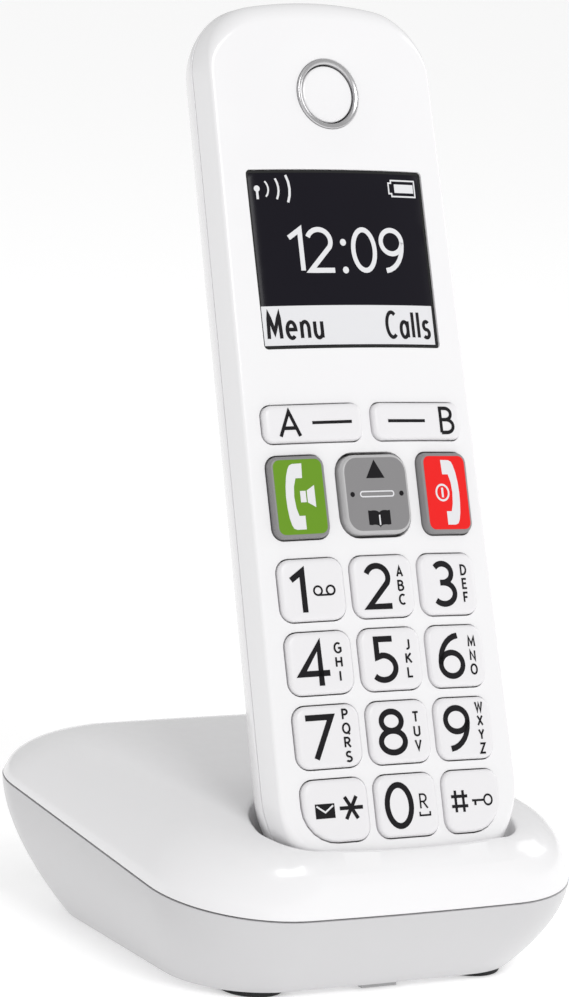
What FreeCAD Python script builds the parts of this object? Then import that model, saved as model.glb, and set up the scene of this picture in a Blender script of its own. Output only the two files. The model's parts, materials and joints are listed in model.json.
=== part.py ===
import FreeCAD, Part
import math
import os
import Sketcher
from FreeCAD import Placement, Rotation, Vector

# Cordless desk telephone: a large-key handset leaning in the pocket of a low charging base.
# Row frame: +Z up, +X to the user's right, -Y towards the user; the origin is under the middle of
# the base, on the table. The handset is drawn in its own frame, with X across it, Y from its face
# to its back and Z from its bottom end to its top end, and is then leaned back into the base.

DIMENSIONS = {
    # how the handset stands
    "lean_angle": 21.4,
    "seat_forward": 48.1,
    "seat_height": 22.3,
    # handset body
    "handset_length": 176.0,
    "handset_half_low": 28.0,
    "handset_half_high": 25.7,
    "handset_bottom_corner": 20.0,
    "handset_top_corner": 14.0,
    "handset_bottom_bow": 90.0,
    "handset_top_bow": 95.0,
    "handset_depth": 24.2,
    "face_bow": 148.0,
    "seam_depth": 8.0,
    "seam_gap": 0.2,
    "band_draft": 0.12,
    "rear_round": 13.4,
    "rear_squareness": 1.5,
    "handset_wall": 1.8,
    "chin_fillet": 4.0,
    # keypad
    "column_pitch": 15.36,
    "row_pitch": 14.12,
    "first_row_height": 59.0,
    "key_width": 13.7,
    "key_height": 12.0,
    "key_corner": 2.6,
    "chin_key_corner": 7.0,
    "key_proud": 0.9,
    "key_thick": 3.5,
    "key_edge": 0.5,
    "key_gap": 0.25,
    "soft_row_height": 91.2,
    "soft_key_centre": 11.95,
    "soft_key_width": 21.3,
    "soft_key_height": 7.3,
    "soft_key_corner": 2.0,
    "soft_key_thick": 3.2,
    "call_row_height": 76.9,
    "call_key_centre": 16.7,
    "call_key_width": 11.9,
    "call_key_height": 16.1,
    "call_key_corner": 2.2,
    "call_key_proud": 1.2,
    "call_inset_border": 0.8,
    "call_inset_thick": 0.8,
    "navigation_width": 15.3,
    "navigation_height": 15.7,
    "navigation_corner": 3.6,
    "navigation_gap": 0.55,
    "navigation_thick": 3.0,
    "pivot_radius": 2.6,
    "pivot_thick": 0.9,
    "mat_set_back": 3.8,
    "mat_thick": 0.9,
    "mat_width": 45.0,
    "mat_bottom": 12.0,
    "mat_top": 97.0,
    "board_thick": 1.2,
    "board_bottom": 14.0,
    "board_top": 162.0,
    # display and earpiece
    "display_width": 40.4,
    "display_height": 35.4,
    "display_height_centre": 123.6,
    "display_corner": 0.9,
    "display_recess": 0.5,
    "window_thick": 1.1,
    "display_frame_width": 44.0,
    "display_frame_height": 39.0,
    "ear_height": 156.5,
    "ear_ring_radius": 7.0,
    "ear_ring_width": 1.05,
    "ear_ring_thick": 2.2,
    "ear_dish_radius": 13.0,
    "ear_dish_depth": 0.7,
    "speaker_radius": 10.0,
    "speaker_thick": 3.2,
    # battery bay and rear
    "battery_radius": 5.2,
    "battery_length": 44.0,
    "battery_bottom": 46.0,
    "battery_depth": 16.6,
    "battery_offset": 5.6,
    "cover_width": 28.0,
    "cover_bottom": 38.0,
    "cover_top": 104.0,
    "cover_thick": 1.6,
    "cover_corner": 5.0,
    "cover_gap": 0.35,
    # screws
    "screw_radius": 1.0,
    "screw_head_radius": 2.2,
    "screw_head_thick": 1.5,
    "boss_radius": 2.9,
    # base
    "base_depth": 98.4,
    "base_half_front": 46.4,
    "base_half_back": 46.0,
    "base_front_corner": 23.3,
    "base_back_corner": 17.3,
    "base_end_bow": 700.0,
    "base_wall": 2.0,
    "seam_height": 22.2,
    "seam_slope": 0.08,
    "crown_height": 34.8,
    "crown_slope": 0.02,
    "crown_round": 18.0,
    "crown_front_round": 5.0,
    "crown_bow": 384.0,
    "crown_top": 35.4,
    "crown_top_back": 15.0,
    "foot_thick": 1.2,
    "foot_radius": 6.5,
    "foot_sink": 0.6,
    "bottom_side_inset": 7.8,
    "bottom_front_inset": 10.2,
    "bottom_back_inset": 16.3,
    "bottom_corner": 17.5,
    "bottom_curve": 1.7,
    # handset pocket
    "pocket_side_gap": 1.8,
    "pocket_face_gap": 0.5,
    "pocket_floor_gap": 0.6,
    "pocket_depth": 27.5,
    "pocket_reach": 90.0,
    "pocket_top_corner": 5.0,
    "pocket_top_bow": 400.0,
    "pocket_wall": 1.2,
    "pocket_fillet": 5.0,
    # inside the base
    "base_board_height": 4.6,
    "base_board_thick": 1.4,
    "contact_radius": 1.2,
    "contact_offset": 9.0,
    "contact_depth": 14.0,
    "contact_length": 6.0,
    "charge_pad_low": 0.7,
    "contact_gap": 0.3,
    "contact_travel": 0.8,
    "page_key_width": 8.0,
}

document = FreeCAD.newDocument("cordless_phone")
sheet = document.addObject("Spreadsheet::Sheet", "Dims")
for row_number, (alias, value) in enumerate(DIMENSIONS.items(), start=1):
    sheet.set(f"A{row_number}", alias)
    sheet.set(f"B{row_number}", str(value))
    sheet.setAlias(f"B{row_number}", alias)
document.recompute()


def dim(alias):
    """A driving dimension, as the sheet holds it."""
    return float(sheet.get(alias))


LEAN = dim("lean_angle")
HANDSET = Placement(
    Vector(0, -dim("seat_forward"), dim("seat_height")),
    Rotation(Vector(1, 0, 0), -LEAN),
)
BASE = Placement()
ALONG_X = Vector(1, 0, 0)
ALONG_Y = Vector(0, 1, 0)
ALONG_Z = Vector(0, 0, 1)
sub_parts = []


# ---------------------------------------------------------------- helpers for document objects

def keep(piece, label):
    """Names a finished sub-part, which is written to a file of that name."""
    piece.Label = label
    sub_parts.append(piece)
    return piece


def add_shape(label, shape, placement):
    """A sub-part whose surfaces are lofts between outlines, cut by one another."""
    piece = document.addObject("Part::Feature", label)
    piece.Shape = shape
    piece.Placement = placement
    return keep(piece, label)


def origin_plane(body, role):
    """The body's own origin plane with this role."""
    return next(plane for plane in body.Origin.OriginFeatures if plane.Role == role)


def rounded_sketch(body, name, role, width, height, corner):
    """A rounded rectangle centred on the body's origin; its three sizes are expressions."""
    sketch = body.newObject("Sketcher::SketchObject", name)
    sketch.AttachmentSupport = [(origin_plane(body, role), "")]
    sketch.MapMode = "FlatFace"
    half_w, half_h, r = 6.0, 5.0, 1.0
    quarter = math.pi / 2
    corners = [(half_w, -half_h, -1), (half_w, half_h, 0), (-half_w, half_h, 1), (-half_w, -half_h, 2)]
    sides = [
        ((-half_w + r, -half_h), (half_w - r, -half_h)),
        ((half_w, -half_h + r), (half_w, half_h - r)),
        ((half_w - r, half_h), (-half_w + r, half_h)),
        ((-half_w, half_h - r), (-half_w, -half_h + r)),
    ]
    for (start, end), (u, v, turn) in zip(sides, corners):
        sketch.addGeometry(Part.LineSegment(Vector(*start, 0), Vector(*end, 0)), False)
        centre = Vector(u - math.copysign(r, u), v - math.copysign(r, v), 0)
        circle = Part.Circle(centre, ALONG_Z, r)
        sketch.addGeometry(Part.ArcOfCircle(circle, turn * quarter, (turn + 1) * quarter), False)
    for side in range(4):
        line, arc, next_line = 2 * side, 2 * side + 1, (2 * side + 2) % 8
        sketch.addConstraint(Sketcher.Constraint("Tangent", line, 2, arc, 1))
        sketch.addConstraint(Sketcher.Constraint("Tangent", arc, 2, next_line, 1))
    for line, kind in ((0, "Horizontal"), (2, "Vertical"), (4, "Horizontal"), (6, "Vertical")):
        sketch.addConstraint(Sketcher.Constraint(kind, line))
    for arc in (3, 5, 7):
        sketch.addConstraint(Sketcher.Constraint("Equal", 1, arc))
    sketch.addConstraint(Sketcher.Constraint("Symmetric", 0, 1, 4, 1, -1, 1))
    sizes = (
        ("width", Sketcher.Constraint("Distance", 2, 1, 6, 2 * half_w), width),
        ("height", Sketcher.Constraint("Distance", 0, 1, 4, 2 * half_h), height),
        ("corner", Sketcher.Constraint("Radius", 1, r), corner),
    )
    for size_name, constraint, expression in sizes:
        index = sketch.addConstraint(constraint)
        sketch.renameConstraint(index, size_name)
        sketch.setExpression(f"Constraints.{size_name}", expression)
    return sketch


def circle_sketch(body, name, role, radii):
    """Concentric circles on the body's origin; each radius is an expression."""
    sketch = body.newObject("Sketcher::SketchObject", name)
    sketch.AttachmentSupport = [(origin_plane(body, role), "")]
    sketch.MapMode = "FlatFace"
    for index, radius in enumerate(radii):
        sketch.addGeometry(Part.Circle(Vector(0, 0, 0), ALONG_Z, 5.0 + index), False)
        sketch.addConstraint(Sketcher.Constraint("Coincident", index, 3, -1, 1))
        constraint = sketch.addConstraint(Sketcher.Constraint("Radius", index, 5.0 + index))
        sketch.renameConstraint(constraint, f"radius{index}")
        sketch.setExpression(f"Constraints.radius{index}", radius)
    return sketch


def pad(body, sketch, thickness, inward):
    """Pushes a sketch out by an expression, towards +Y or +Z where inward is true."""
    feature = body.newObject("PartDesign::Pad", "Pad")
    feature.Profile = sketch
    feature.Reversed = inward
    feature.setExpression("Length", thickness)
    document.recompute()
    return feature


def face_edges(feature, axis, at_high_end):
    """Names of the edges that lie on the feature's end along an axis, 0 to 2 for X to Z."""
    def span(edge):
        box = edge.BoundBox
        return ((box.XMin, box.XMax), (box.YMin, box.YMax), (box.ZMin, box.ZMax))[axis]

    shape = feature.Shape
    ends = [span(edge) for edge in shape.Edges]
    limit = max(high for low, high in ends) if at_high_end else min(low for low, high in ends)
    chosen = []
    for number, (low, high) in enumerate(ends, start=1):
        if abs(low - limit) < 1e-4 and abs(high - limit) < 1e-4:
            chosen.append(f"Edge{number}")
    return chosen


def round_edges(body, feature, axis, at_high_end, radius):
    """A fillet round one end of a padded feature."""
    fillet = body.newObject("PartDesign::Fillet", "Fillet")
    fillet.Base = (feature, face_edges(feature, axis, at_high_end))
    fillet.setExpression("Radius", radius)
    document.recompute()
    return fillet


def plate(label, width, height, corner, thickness, placement, role="XZ_Plane", edge=None):
    """A rounded plate. On XZ it lies across the handset, its front at Y 0; on XY it lies flat."""
    body = document.addObject("PartDesign::Body", label)
    sketch = rounded_sketch(body, "Outline", role, width, height, corner)
    feature = pad(body, sketch, thickness, inward=(role == "XZ_Plane"))
    if edge:
        round_edges(body, feature, 1 if role == "XZ_Plane" else 2, role != "XZ_Plane", edge)
    body.Placement = placement
    return keep(body, label)


def disc(label, radii, thickness, placement, role="XZ_Plane", edge=None):
    """A disc, or a ring where two radii are given."""
    body = document.addObject("PartDesign::Body", label)
    sketch = circle_sketch(body, "Outline", role, radii)
    feature = pad(body, sketch, thickness, inward=(role == "XZ_Plane"))
    if edge:
        round_edges(body, feature, 1 if role == "XZ_Plane" else 2, role != "XZ_Plane", edge)
    body.Placement = placement
    return keep(body, label)


def on_face(x, depth, z, turn=0.0):
    """A place on the handset, given across, behind the face and along it."""
    return HANDSET * Placement(Vector(x, depth, z), Rotation(ALONG_Z, turn))


def rod(x, z, front, back, radius):
    """A round rod through the handset, from its front end to its back end along Y."""
    return Part.makeCylinder(radius, back - front, Vector(x, front, z), ALONG_Y)


def post(x, y, low, high, radius):
    """An upright round post in the base."""
    return Part.makeCylinder(radius, high - low, Vector(x, y, low), ALONG_Z)


def block(x_span, y_span, z_span):
    """A box between three pairs of limits."""
    lengths = [high - low for low, high in (x_span, y_span, z_span)]
    return Part.makeBox(*lengths, Vector(x_span[0], y_span[0], z_span[0]))


def joined(shapes):
    """One shape out of several."""
    return shapes[0].multiFuse(shapes[1:]).removeSplitter()


# ---------------------------------------------------------------- outlines and lofts

def round_end(edge_normal, edge_offset, middle, bow, corner, top):
    """Where a side line, a corner circle and a bowed end touch one another."""
    cosine, sine = edge_normal
    centre_v = middle - bow if top else middle + bow
    base_u = (edge_offset - corner) / cosine
    slope = -sine / cosine
    a = 1 + slope * slope
    b = 2 * (slope * base_u - centre_v)
    c = base_u * base_u + centre_v * centre_v - (bow - corner) ** 2
    root = math.sqrt(b * b - 4 * a * c)
    v = (-b + root) / (2 * a) if top else (-b - root) / (2 * a)
    u = base_u + slope * v
    on_side = (u + corner * cosine, v + corner * sine)
    reach = math.hypot(u, v - centre_v)
    outward = (u / reach, (v - centre_v) / reach)
    on_end = (u + corner * outward[0], v + corner * outward[1])
    half_way = (cosine + outward[0], sine + outward[1])
    length = math.hypot(*half_way)
    on_corner = (u + corner * half_way[0] / length, v + corner * half_way[1] / length)
    return on_side, on_corner, on_end


def closed_outline(half_low, half_high, low, high, corners, bows, to_space):
    """A symmetric outline: two straight sides, two bowed ends and four tangent corners.

    corners and bows give the radii at the low and the high end, and to_space puts a
    point of the outline into three dimensions.
    """
    tilt = math.atan2(half_low - half_high, high - low)
    normal = (math.cos(tilt), math.sin(tilt))
    offset = half_low * normal[0] + low * normal[1]
    low_side, low_corner, low_end = round_end(normal, offset, low, bows[0], corners[0], False)
    high_side, high_corner, high_end = round_end(normal, offset, high, bows[1], corners[1], True)

    def right(point):
        return to_space(point[0], point[1])

    def left(point):
        return to_space(-point[0], point[1])

    edges = [
        Part.Arc(left(low_end), to_space(0, low), right(low_end)),
        Part.Arc(right(low_end), right(low_corner), right(low_side)),
        Part.LineSegment(right(low_side), right(high_side)),
        Part.Arc(right(high_side), right(high_corner), right(high_end)),
        Part.Arc(right(high_end), to_space(0, high), left(high_end)),
        Part.Arc(left(high_end), left(high_corner), left(high_side)),
        Part.LineSegment(left(high_side), left(low_side)),
        Part.Arc(left(low_side), left(low_corner), left(low_end)),
    ]
    return Part.Wire([edge.toShape() for edge in edges])


def handset_outline(depth, inset):
    """The handset's outline at a depth behind its face, drawn in by an inset all round."""
    return closed_outline(
        dim("handset_half_low") - inset,
        dim("handset_half_high") - inset,
        inset,
        dim("handset_length") - inset,
        (dim("handset_bottom_corner") - inset * 0.9, dim("handset_top_corner") - inset * 0.9),
        (dim("handset_bottom_bow") - inset, dim("handset_top_bow") - inset),
        lambda u, v: Vector(u, depth, v),
    )


def face_cylinder(set_back):
    """The handset's gently bowed face, as a large cylinder whose front line is set back."""
    radius = dim("face_bow") - set_back
    length = dim("handset_length") + 40
    return Part.makeCylinder(radius, length, Vector(0, dim("face_bow"), -20), ALONG_Z)


def front_volume(inset, set_back, back):
    """The solid shape of the handset in front of its seam."""
    ahead = -3.0
    spread = dim("band_draft") * (dim("seam_depth") - ahead)
    rise = dim("band_draft") * (back - dim("seam_depth"))
    sections = [handset_outline(ahead, inset + spread), handset_outline(back, inset - rise)]
    return Part.makeLoft(sections, True, True).common(face_cylinder(set_back))


def rear_volume(inset, front, back):
    """The solid shape of the handset behind its seam: its sides roll into a flat back."""
    power = 2 / dim("rear_squareness")
    sections = []
    for step in range(6):
        angle = math.radians(18 * step)
        depth = front + (back - front) * math.sin(angle) ** power
        draw_in = dim("rear_round") * (1 - abs(math.cos(angle)) ** power)
        sections.append(handset_outline(depth, inset + draw_in))
    return Part.makeLoft(sections, True, False)


def base_outline(side_inset, front_inset, back_inset, corners, height, slope):
    """The base's outline on a sloping plane, drawn in by its own inset on each side."""
    half_depth = dim("base_depth") / 2
    return closed_outline(
        dim("base_half_front") - side_inset,
        dim("base_half_back") - side_inset,
        -half_depth + front_inset,
        half_depth - back_inset,
        corners,
        (dim("base_end_bow"), dim("base_end_bow")),
        lambda u, v: Vector(u, v, height + slope * v),
    )


def crown_volume(wall):
    """The solid shape of the base above its seam, or of its hollow where wall isn't zero."""
    corners = (dim("base_front_corner") - wall, dim("base_back_corner") - wall)
    sections = []
    for step in range(6):
        angle = math.radians(18 * step)
        rise = math.sin(angle)
        draw_in = 1 - math.cos(angle)
        crown = dim("crown_height") - wall
        height = dim("seam_height") + (crown - dim("seam_height")) * rise
        slope = dim("seam_slope") + (dim("crown_slope") - dim("seam_slope")) * rise
        side = wall + dim("crown_round") * draw_in
        front = wall + dim("crown_front_round") * draw_in
        sections.append(base_outline(side, front, side, corners, height, slope))
    bow = dim("crown_bow") - wall
    centre = Vector(-70, dim("crown_top_back"), dim("crown_top") - dim("crown_bow"))
    roof = Part.makeCylinder(bow, 140, centre, ALONG_X)
    return Part.makeLoft(sections, True, False).common(roof)


def bowl_volume(wall):
    """The solid shape of the base below its seam, or of its hollow where wall isn't zero."""
    bottom = dim("foot_thick") + wall
    sections = []
    for step in range(5):
        share = 1 - step / 4
        bulge = share ** dim("bottom_curve")
        seam_corner = dim("base_front_corner"), dim("base_back_corner")
        corners = [r + (dim("bottom_corner") - r) * bulge - wall for r in seam_corner]
        height = dim("seam_height") + (bottom - dim("seam_height")) * share
        slope = dim("seam_slope") * (1 - share)
        sections.append(
            base_outline(
                wall + dim("bottom_side_inset") * bulge,
                wall + dim("bottom_front_inset") * bulge,
                wall + dim("bottom_back_inset") * bulge,
                corners,
                height,
                slope,
            )
        )
    return Part.makeLoft(sections, True, False)


def pocket_volume(grow):
    """The pocket that the handset stands in, drawn in the handset's own frame."""
    side = dim("pocket_side_gap") + grow
    front = -dim("pocket_face_gap") - grow
    ahead = front - 3.0
    half_width = dim("handset_half_low") + side
    outline = closed_outline(
        half_width,
        half_width,
        -dim("pocket_floor_gap") - grow,
        dim("pocket_reach"),
        (dim("handset_bottom_corner") + side, dim("pocket_top_corner")),
        (dim("handset_bottom_bow"), dim("pocket_top_bow")),
        lambda u, v: Vector(u, ahead, v),
    )
    prism = Part.Face(outline).extrude(Vector(0, dim("pocket_depth") + grow - ahead, 0))
    pocket = prism.common(face_cylinder(front))
    rim = [edge for edge in pocket.Edges if edge.BoundBox.YMax < dim("pocket_fillet") + 1]
    return pocket.makeFillet(dim("pocket_fillet"), rim)


# ---------------------------------------------------------------- keypad

KEY_NAMES = (
    ("key_1", "key_2", "key_3"),
    ("key_4", "key_5", "key_6"),
    ("key_7", "key_8", "key_9"),
    ("key_star", "key_0", "key_hash"),
)


def face_turn(x):
    """How far the bowed face turns away at a place across it, in degrees."""
    return math.degrees(math.asin(x / dim("face_bow")))


def face_depth(x):
    """How far the bowed face falls back at a place across it."""
    return dim("face_bow") - math.sqrt(dim("face_bow") ** 2 - x * x)


def key_place(x, z, proud="key_proud"):
    """Where a key's front lies, proud of the bowed face and square to it."""
    return on_face(x, face_depth(x) - dim(proud), z, face_turn(x))


def make_key(label, x, z, width, height, corner, thickness="Dims.key_thick"):
    """A key cap with a rounded front edge."""
    sizes = (f"Dims.{width}", f"Dims.{height}", f"Dims.{corner}", thickness)
    return plate(label, *sizes, key_place(x, z), edge="Dims.key_edge")


def well(x, z, width, height, corner, gap):
    """The hole that a key moves in, in the handset's own frame."""
    half_w, half_h = width / 2 + gap, height / 2 + gap
    prism = block((-half_w, half_w), (-3, 6), (-half_h, half_h))
    upright = [e for e in prism.Edges if e.BoundBox.YLength > 8]
    prism = prism.makeFillet(corner + gap, upright)
    prism.Placement = Placement(Vector(x, face_depth(x), z), Rotation(ALONG_Z, face_turn(x)))
    return prism


def cut_chin_corner(piece, x):
    """Gives a key of the last row the large lower outer corner that follows the handset's."""
    radius = dim("chin_key_corner")
    corner_u = math.copysign(dim("key_width") / 2, x)
    corner_v = -dim("key_height") / 2
    centre_u = corner_u - math.copysign(radius, x)
    body = document.addObject("Part::Box", piece.Name + "Corner")
    body.setExpression("Length", "Dims.chin_key_corner")
    body.setExpression("Height", "Dims.chin_key_corner")
    body.Width = 12
    body.Placement = Placement(Vector(min(corner_u, centre_u), -4, corner_v), Rotation())
    core = document.addObject("Part::Cylinder", piece.Name + "Core")
    core.setExpression("Radius", "Dims.chin_key_corner")
    core.Height = 12
    core.Placement = Placement(
        Vector(centre_u, 8, corner_v + radius), Rotation(ALONG_X, 90)
    )
    waste = document.addObject("Part::Cut", piece.Name + "Waste")
    waste.Base = body
    waste.Tool = core
    waste.Placement = piece.Placement
    trimmed = document.addObject("Part::Cut", piece.Name + "Trimmed")
    trimmed.Base = piece
    trimmed.Tool = waste
    sub_parts.remove(piece)
    label = piece.Label
    piece.Label = label + "_cap"
    document.recompute()
    return keep(trimmed, label)


wells = []
for row, names in enumerate(KEY_NAMES):
    for column, name in enumerate(names):
        key_x = (column - 1) * dim("column_pitch")
        key_z = dim("first_row_height") - row * dim("row_pitch")
        key = make_key(name, key_x, key_z, "key_width", "key_height", "key_corner")
        if row == 3 and column != 1:
            cut_chin_corner(key, key_x)
        wells.append(
            well(key_x, key_z, dim("key_width"), dim("key_height"), dim("key_corner"), dim("key_gap"))
        )

for side, name in ((-1, "soft_key_left"), (1, "soft_key_right")):
    key_x, key_z = side * dim("soft_key_centre"), dim("soft_row_height")
    size_names = "soft_key_width", "soft_key_height", "soft_key_corner"
    make_key(name, key_x, key_z, *size_names, "Dims.soft_key_thick")
    size = dim("soft_key_width"), dim("soft_key_height"), dim("soft_key_corner")
    wells.append(well(key_x, key_z, *size, dim("key_gap")))


def make_call_key(name, side):
    """A grey cap with a coloured tile let into its front."""
    x, z = side * dim("call_key_centre"), dim("call_row_height")
    wells.append(
        well(x, z, dim("call_key_width"), dim("call_key_height"), dim("call_key_corner"), dim("key_gap"))
    )
    cap = document.addObject("PartDesign::Body", name)
    outline = rounded_sketch(
        cap, "Outline", "XZ_Plane", "Dims.call_key_width", "Dims.call_key_height", "Dims.call_key_corner"
    )
    feature = pad(cap, outline, "Dims.key_thick", inward=True)
    feature = round_edges(cap, feature, 1, False, "Dims.key_edge")
    tile = ("Dims.call_key_width - 2 * Dims.call_inset_border",
            "Dims.call_key_height - 2 * Dims.call_inset_border",
            "Dims.call_key_corner - Dims.call_inset_border")
    recess = rounded_sketch(cap, "Recess", "XZ_Plane", *tile)
    pocket = cap.newObject("PartDesign::Pocket", "TileRecess")
    pocket.Profile = recess
    pocket.setExpression("Length", "Dims.call_inset_thick")
    document.recompute()
    if pocket.Shape.Volume > feature.Shape.Volume - 1:
        pocket.Reversed = True
        document.recompute()
    cap.Placement = key_place(x, z, "call_key_proud")
    keep(cap, name)
    plate(name.replace("key", "tile"), *tile, "Dims.call_inset_thick", cap.Placement)


make_call_key("talk_key", -1)
make_call_key("end_key", 1)

plate(
    "navigation_key",
    "Dims.navigation_width",
    "Dims.navigation_height",
    "Dims.navigation_corner",
    "Dims.navigation_thick",
    key_place(0, dim("call_row_height"), "call_key_proud"),
    edge="Dims.key_edge",
)
wells.append(
    well(
        0,
        dim("call_row_height"),
        dim("navigation_width"),
        dim("navigation_height"),
        dim("navigation_corner"),
        dim("navigation_gap"),
    )
)
pivot_front = dim("navigation_thick") - dim("call_key_proud") + 0.15
disc(
    "navigation_pivot",
    ["Dims.pivot_radius"],
    "Dims.pivot_thick",
    on_face(0, pivot_front, dim("call_row_height")),
)

# ---------------------------------------------------------------- handset shells

seam_half_gap = dim("seam_gap") / 2
front_back = dim("seam_depth") - seam_half_gap
rear_front = dim("seam_depth") + seam_half_gap
wall = dim("handset_wall")
display_z = dim("display_height_centre")
ear_z = dim("ear_height")
SCREW_PLACES = [(-18.0, 100.6), (18.0, 100.6), (-15.0, 166.5), (15.0, 166.5)]
BOSS_MEET = 13.0
SCREW_SEAT = 15.0

front_outer = front_volume(0, 0, front_back)
chin = [
    edge
    for edge in front_outer.Edges
    if edge.BoundBox.YMax < 3.2 and edge.BoundBox.ZMax < dim("handset_bottom_corner")
]
front_outer = front_outer.makeFillet(dim("chin_fillet"), chin)
front_inner = front_volume(wall, wall, front_back + 1)
front_shape = front_outer.cut(front_inner)
bosses = [rod(x, z, wall, BOSS_MEET, dim("boss_radius")) for x, z in SCREW_PLACES]
front_shape = front_shape.fuse([boss.common(face_cylinder(1.0)) for boss in bosses])
dish_sphere_radius = (dim("ear_dish_radius") ** 2 + dim("ear_dish_depth") ** 2) / (2 * dim("ear_dish_depth"))
dish = Part.makeSphere(
    dish_sphere_radius, Vector(0, dim("ear_dish_depth") - dish_sphere_radius, ear_z)
)
display_hole = well(
    0, display_z, dim("display_width"), dim("display_height"), dim("display_corner"), 0.0
)
cutters = wells + [
    dish,
    display_hole,
    rod(0, ear_z, -2, 6, dim("ear_ring_radius") + 0.02),
    rod(0, 7.0, -2, 6, 0.7),
]
cutters += [rod(x, z, 6.0, BOSS_MEET + 1, dim("screw_radius")) for x, z in SCREW_PLACES]
front_shape = front_shape.cut(cutters)
add_shape("front_shell", front_shape, HANDSET)

depth = dim("handset_depth")
rear_shape = rear_volume(0, rear_front, depth).cut(rear_volume(wall, rear_front - 0.01, depth - wall))
rear_bosses = [rod(x, z, BOSS_MEET + 0.1, depth - 0.5, dim("boss_radius") + 0.6) for x, z in SCREW_PLACES]
rear_shape = rear_shape.fuse([boss.common(rear_volume(0.1, rear_front, depth - 0.1)) for boss in rear_bosses])
cover_middle = (dim("cover_bottom") + dim("cover_top")) / 2
cover_height = dim("cover_top") - dim("cover_bottom")
cover_hole = well(0, 0, dim("cover_width"), cover_height, dim("cover_corner"), dim("cover_gap"))
cover_hole.translate(Vector(0, depth - 3, cover_middle))
contact_x = dim("contact_offset")
rear_cutters = [cover_hole]
for x, z in SCREW_PLACES:
    rear_cutters.append(rod(x, z, SCREW_SEAT, depth + 1, dim("screw_head_radius") + 0.4))
    rear_cutters.append(rod(x, z, BOSS_MEET - 1, SCREW_SEAT + 1, dim("screw_radius") + 0.2))
for side in (-1, 1):
    middle = side * contact_x
    rear_cutters.append(block((middle - 2.5, middle + 2.5), (12, 16), (-1, 5)))
for slot in range(5):
    slot_z = 136 + 3.2 * slot
    rear_cutters.append(block((-7, 7), (depth - 3, depth + 1), (slot_z, slot_z + 1.2)))
add_shape("rear_shell", rear_shape.cut(rear_cutters), HANDSET)

plate(
    "battery_cover",
    "Dims.cover_width",
    "Dims.cover_top - Dims.cover_bottom",
    "Dims.cover_corner",
    "Dims.cover_thick",
    on_face(0, depth - dim("cover_thick"), cover_middle),
)

# ---------------------------------------------------------------- inside the handset

def bowed_plate(width, height, corner, middle, set_back, thick):
    """A plate bowed like the handset's face, its front line set back from it."""
    prism = well(0, 0, width, height, corner, 0.0)
    prism.translate(Vector(0, 0, middle))
    return prism.common(face_cylinder(set_back)).cut(face_cylinder(set_back + thick))


window_size = dim("display_width") - 0.1, dim("display_height") - 0.1, dim("display_corner")
window = bowed_plate(*window_size, display_z, dim("display_recess"), dim("window_thick"))
add_shape("display_window", window, HANDSET)

frame_front = 3.6
frame_thick = 1.6
frame_outer = block(
    (-dim("display_frame_width") / 2, dim("display_frame_width") / 2),
    (frame_front, frame_front + frame_thick),
    (display_z - dim("display_frame_height") / 2, display_z + dim("display_frame_height") / 2),
)
panel_half_w, panel_half_h = 19.0, 16.5
frame_hole = block(
    (-panel_half_w - 0.1, panel_half_w + 0.1),
    (frame_front - 1, frame_front + frame_thick + 1),
    (display_z - panel_half_h - 0.1, display_z + panel_half_h + 0.1),
)
add_shape("display_frame", frame_outer.cut(frame_hole), HANDSET)

panel = document.addObject("Part::Box", "DisplayPanel")
panel.Length = 2 * panel_half_w
panel.Width = frame_thick
panel.Height = 2 * panel_half_h
panel.Placement = on_face(-panel_half_w, frame_front, display_z - panel_half_h)
keep(panel, "display_panel")

ring_front = dim("ear_dish_depth") - 0.55
disc(
    "ear_ring",
    ["Dims.ear_ring_radius", "Dims.ear_ring_radius - Dims.ear_ring_width"],
    "Dims.ear_ring_thick",
    on_face(0, ring_front, ear_z),
    edge="0.3",
)
disc(
    "ear_cap",
    ["Dims.ear_ring_radius - Dims.ear_ring_width - 0.05"],
    "Dims.ear_ring_thick - 0.4",
    on_face(0, ring_front + 0.4, ear_z),
)
disc("ear_speaker", ["Dims.speaker_radius"], "Dims.speaker_thick", on_face(0, 2.9, ear_z))
disc("ringer_speaker", ["Dims.speaker_radius - 1.5"], "Dims.speaker_thick", on_face(0, 17.4, 142.4))
disc("microphone", ["2"], "1.6", on_face(0, 2.2, 7.0))

mat_middle = (dim("mat_bottom") + dim("mat_top")) / 2
mat_height = dim("mat_top") - dim("mat_bottom")
mat = bowed_plate(dim("mat_width"), mat_height, 6.0, mat_middle, dim("mat_set_back"), dim("mat_thick"))
add_shape("keypad_mat", mat, HANDSET)

board_front = 6.9
board = document.addObject("PartDesign::Body", "handset_board")
board_middle = (dim("board_bottom") + dim("board_top")) / 2
outline = rounded_sketch(
    board, "Outline", "XZ_Plane", "Dims.mat_width - 0.6", "Dims.board_top - Dims.board_bottom", "8"
)
pad(board, outline, "Dims.board_thick", inward=True)
board.Placement = on_face(0, board_front, board_middle)
drills = []
for number, (x, z) in enumerate(SCREW_PLACES):
    drill = document.addObject("Part::Cylinder", f"BoardDrill{number}")
    drill.setExpression("Radius", "Dims.boss_radius + 0.3")
    drill.Height = 6
    drill.Placement = on_face(x, board_front + 3, z) * Placement(Vector(), Rotation(ALONG_X, 90))
    drills.append(drill)
drilled = board
for number, drill in enumerate(drills):
    cut = document.addObject("Part::Cut", f"BoardCut{number}")
    cut.Base = drilled
    cut.Tool = drill
    drilled = cut
board.Label = "handset_board_blank"
keep(drilled, "handset_circuit_board")

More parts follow.
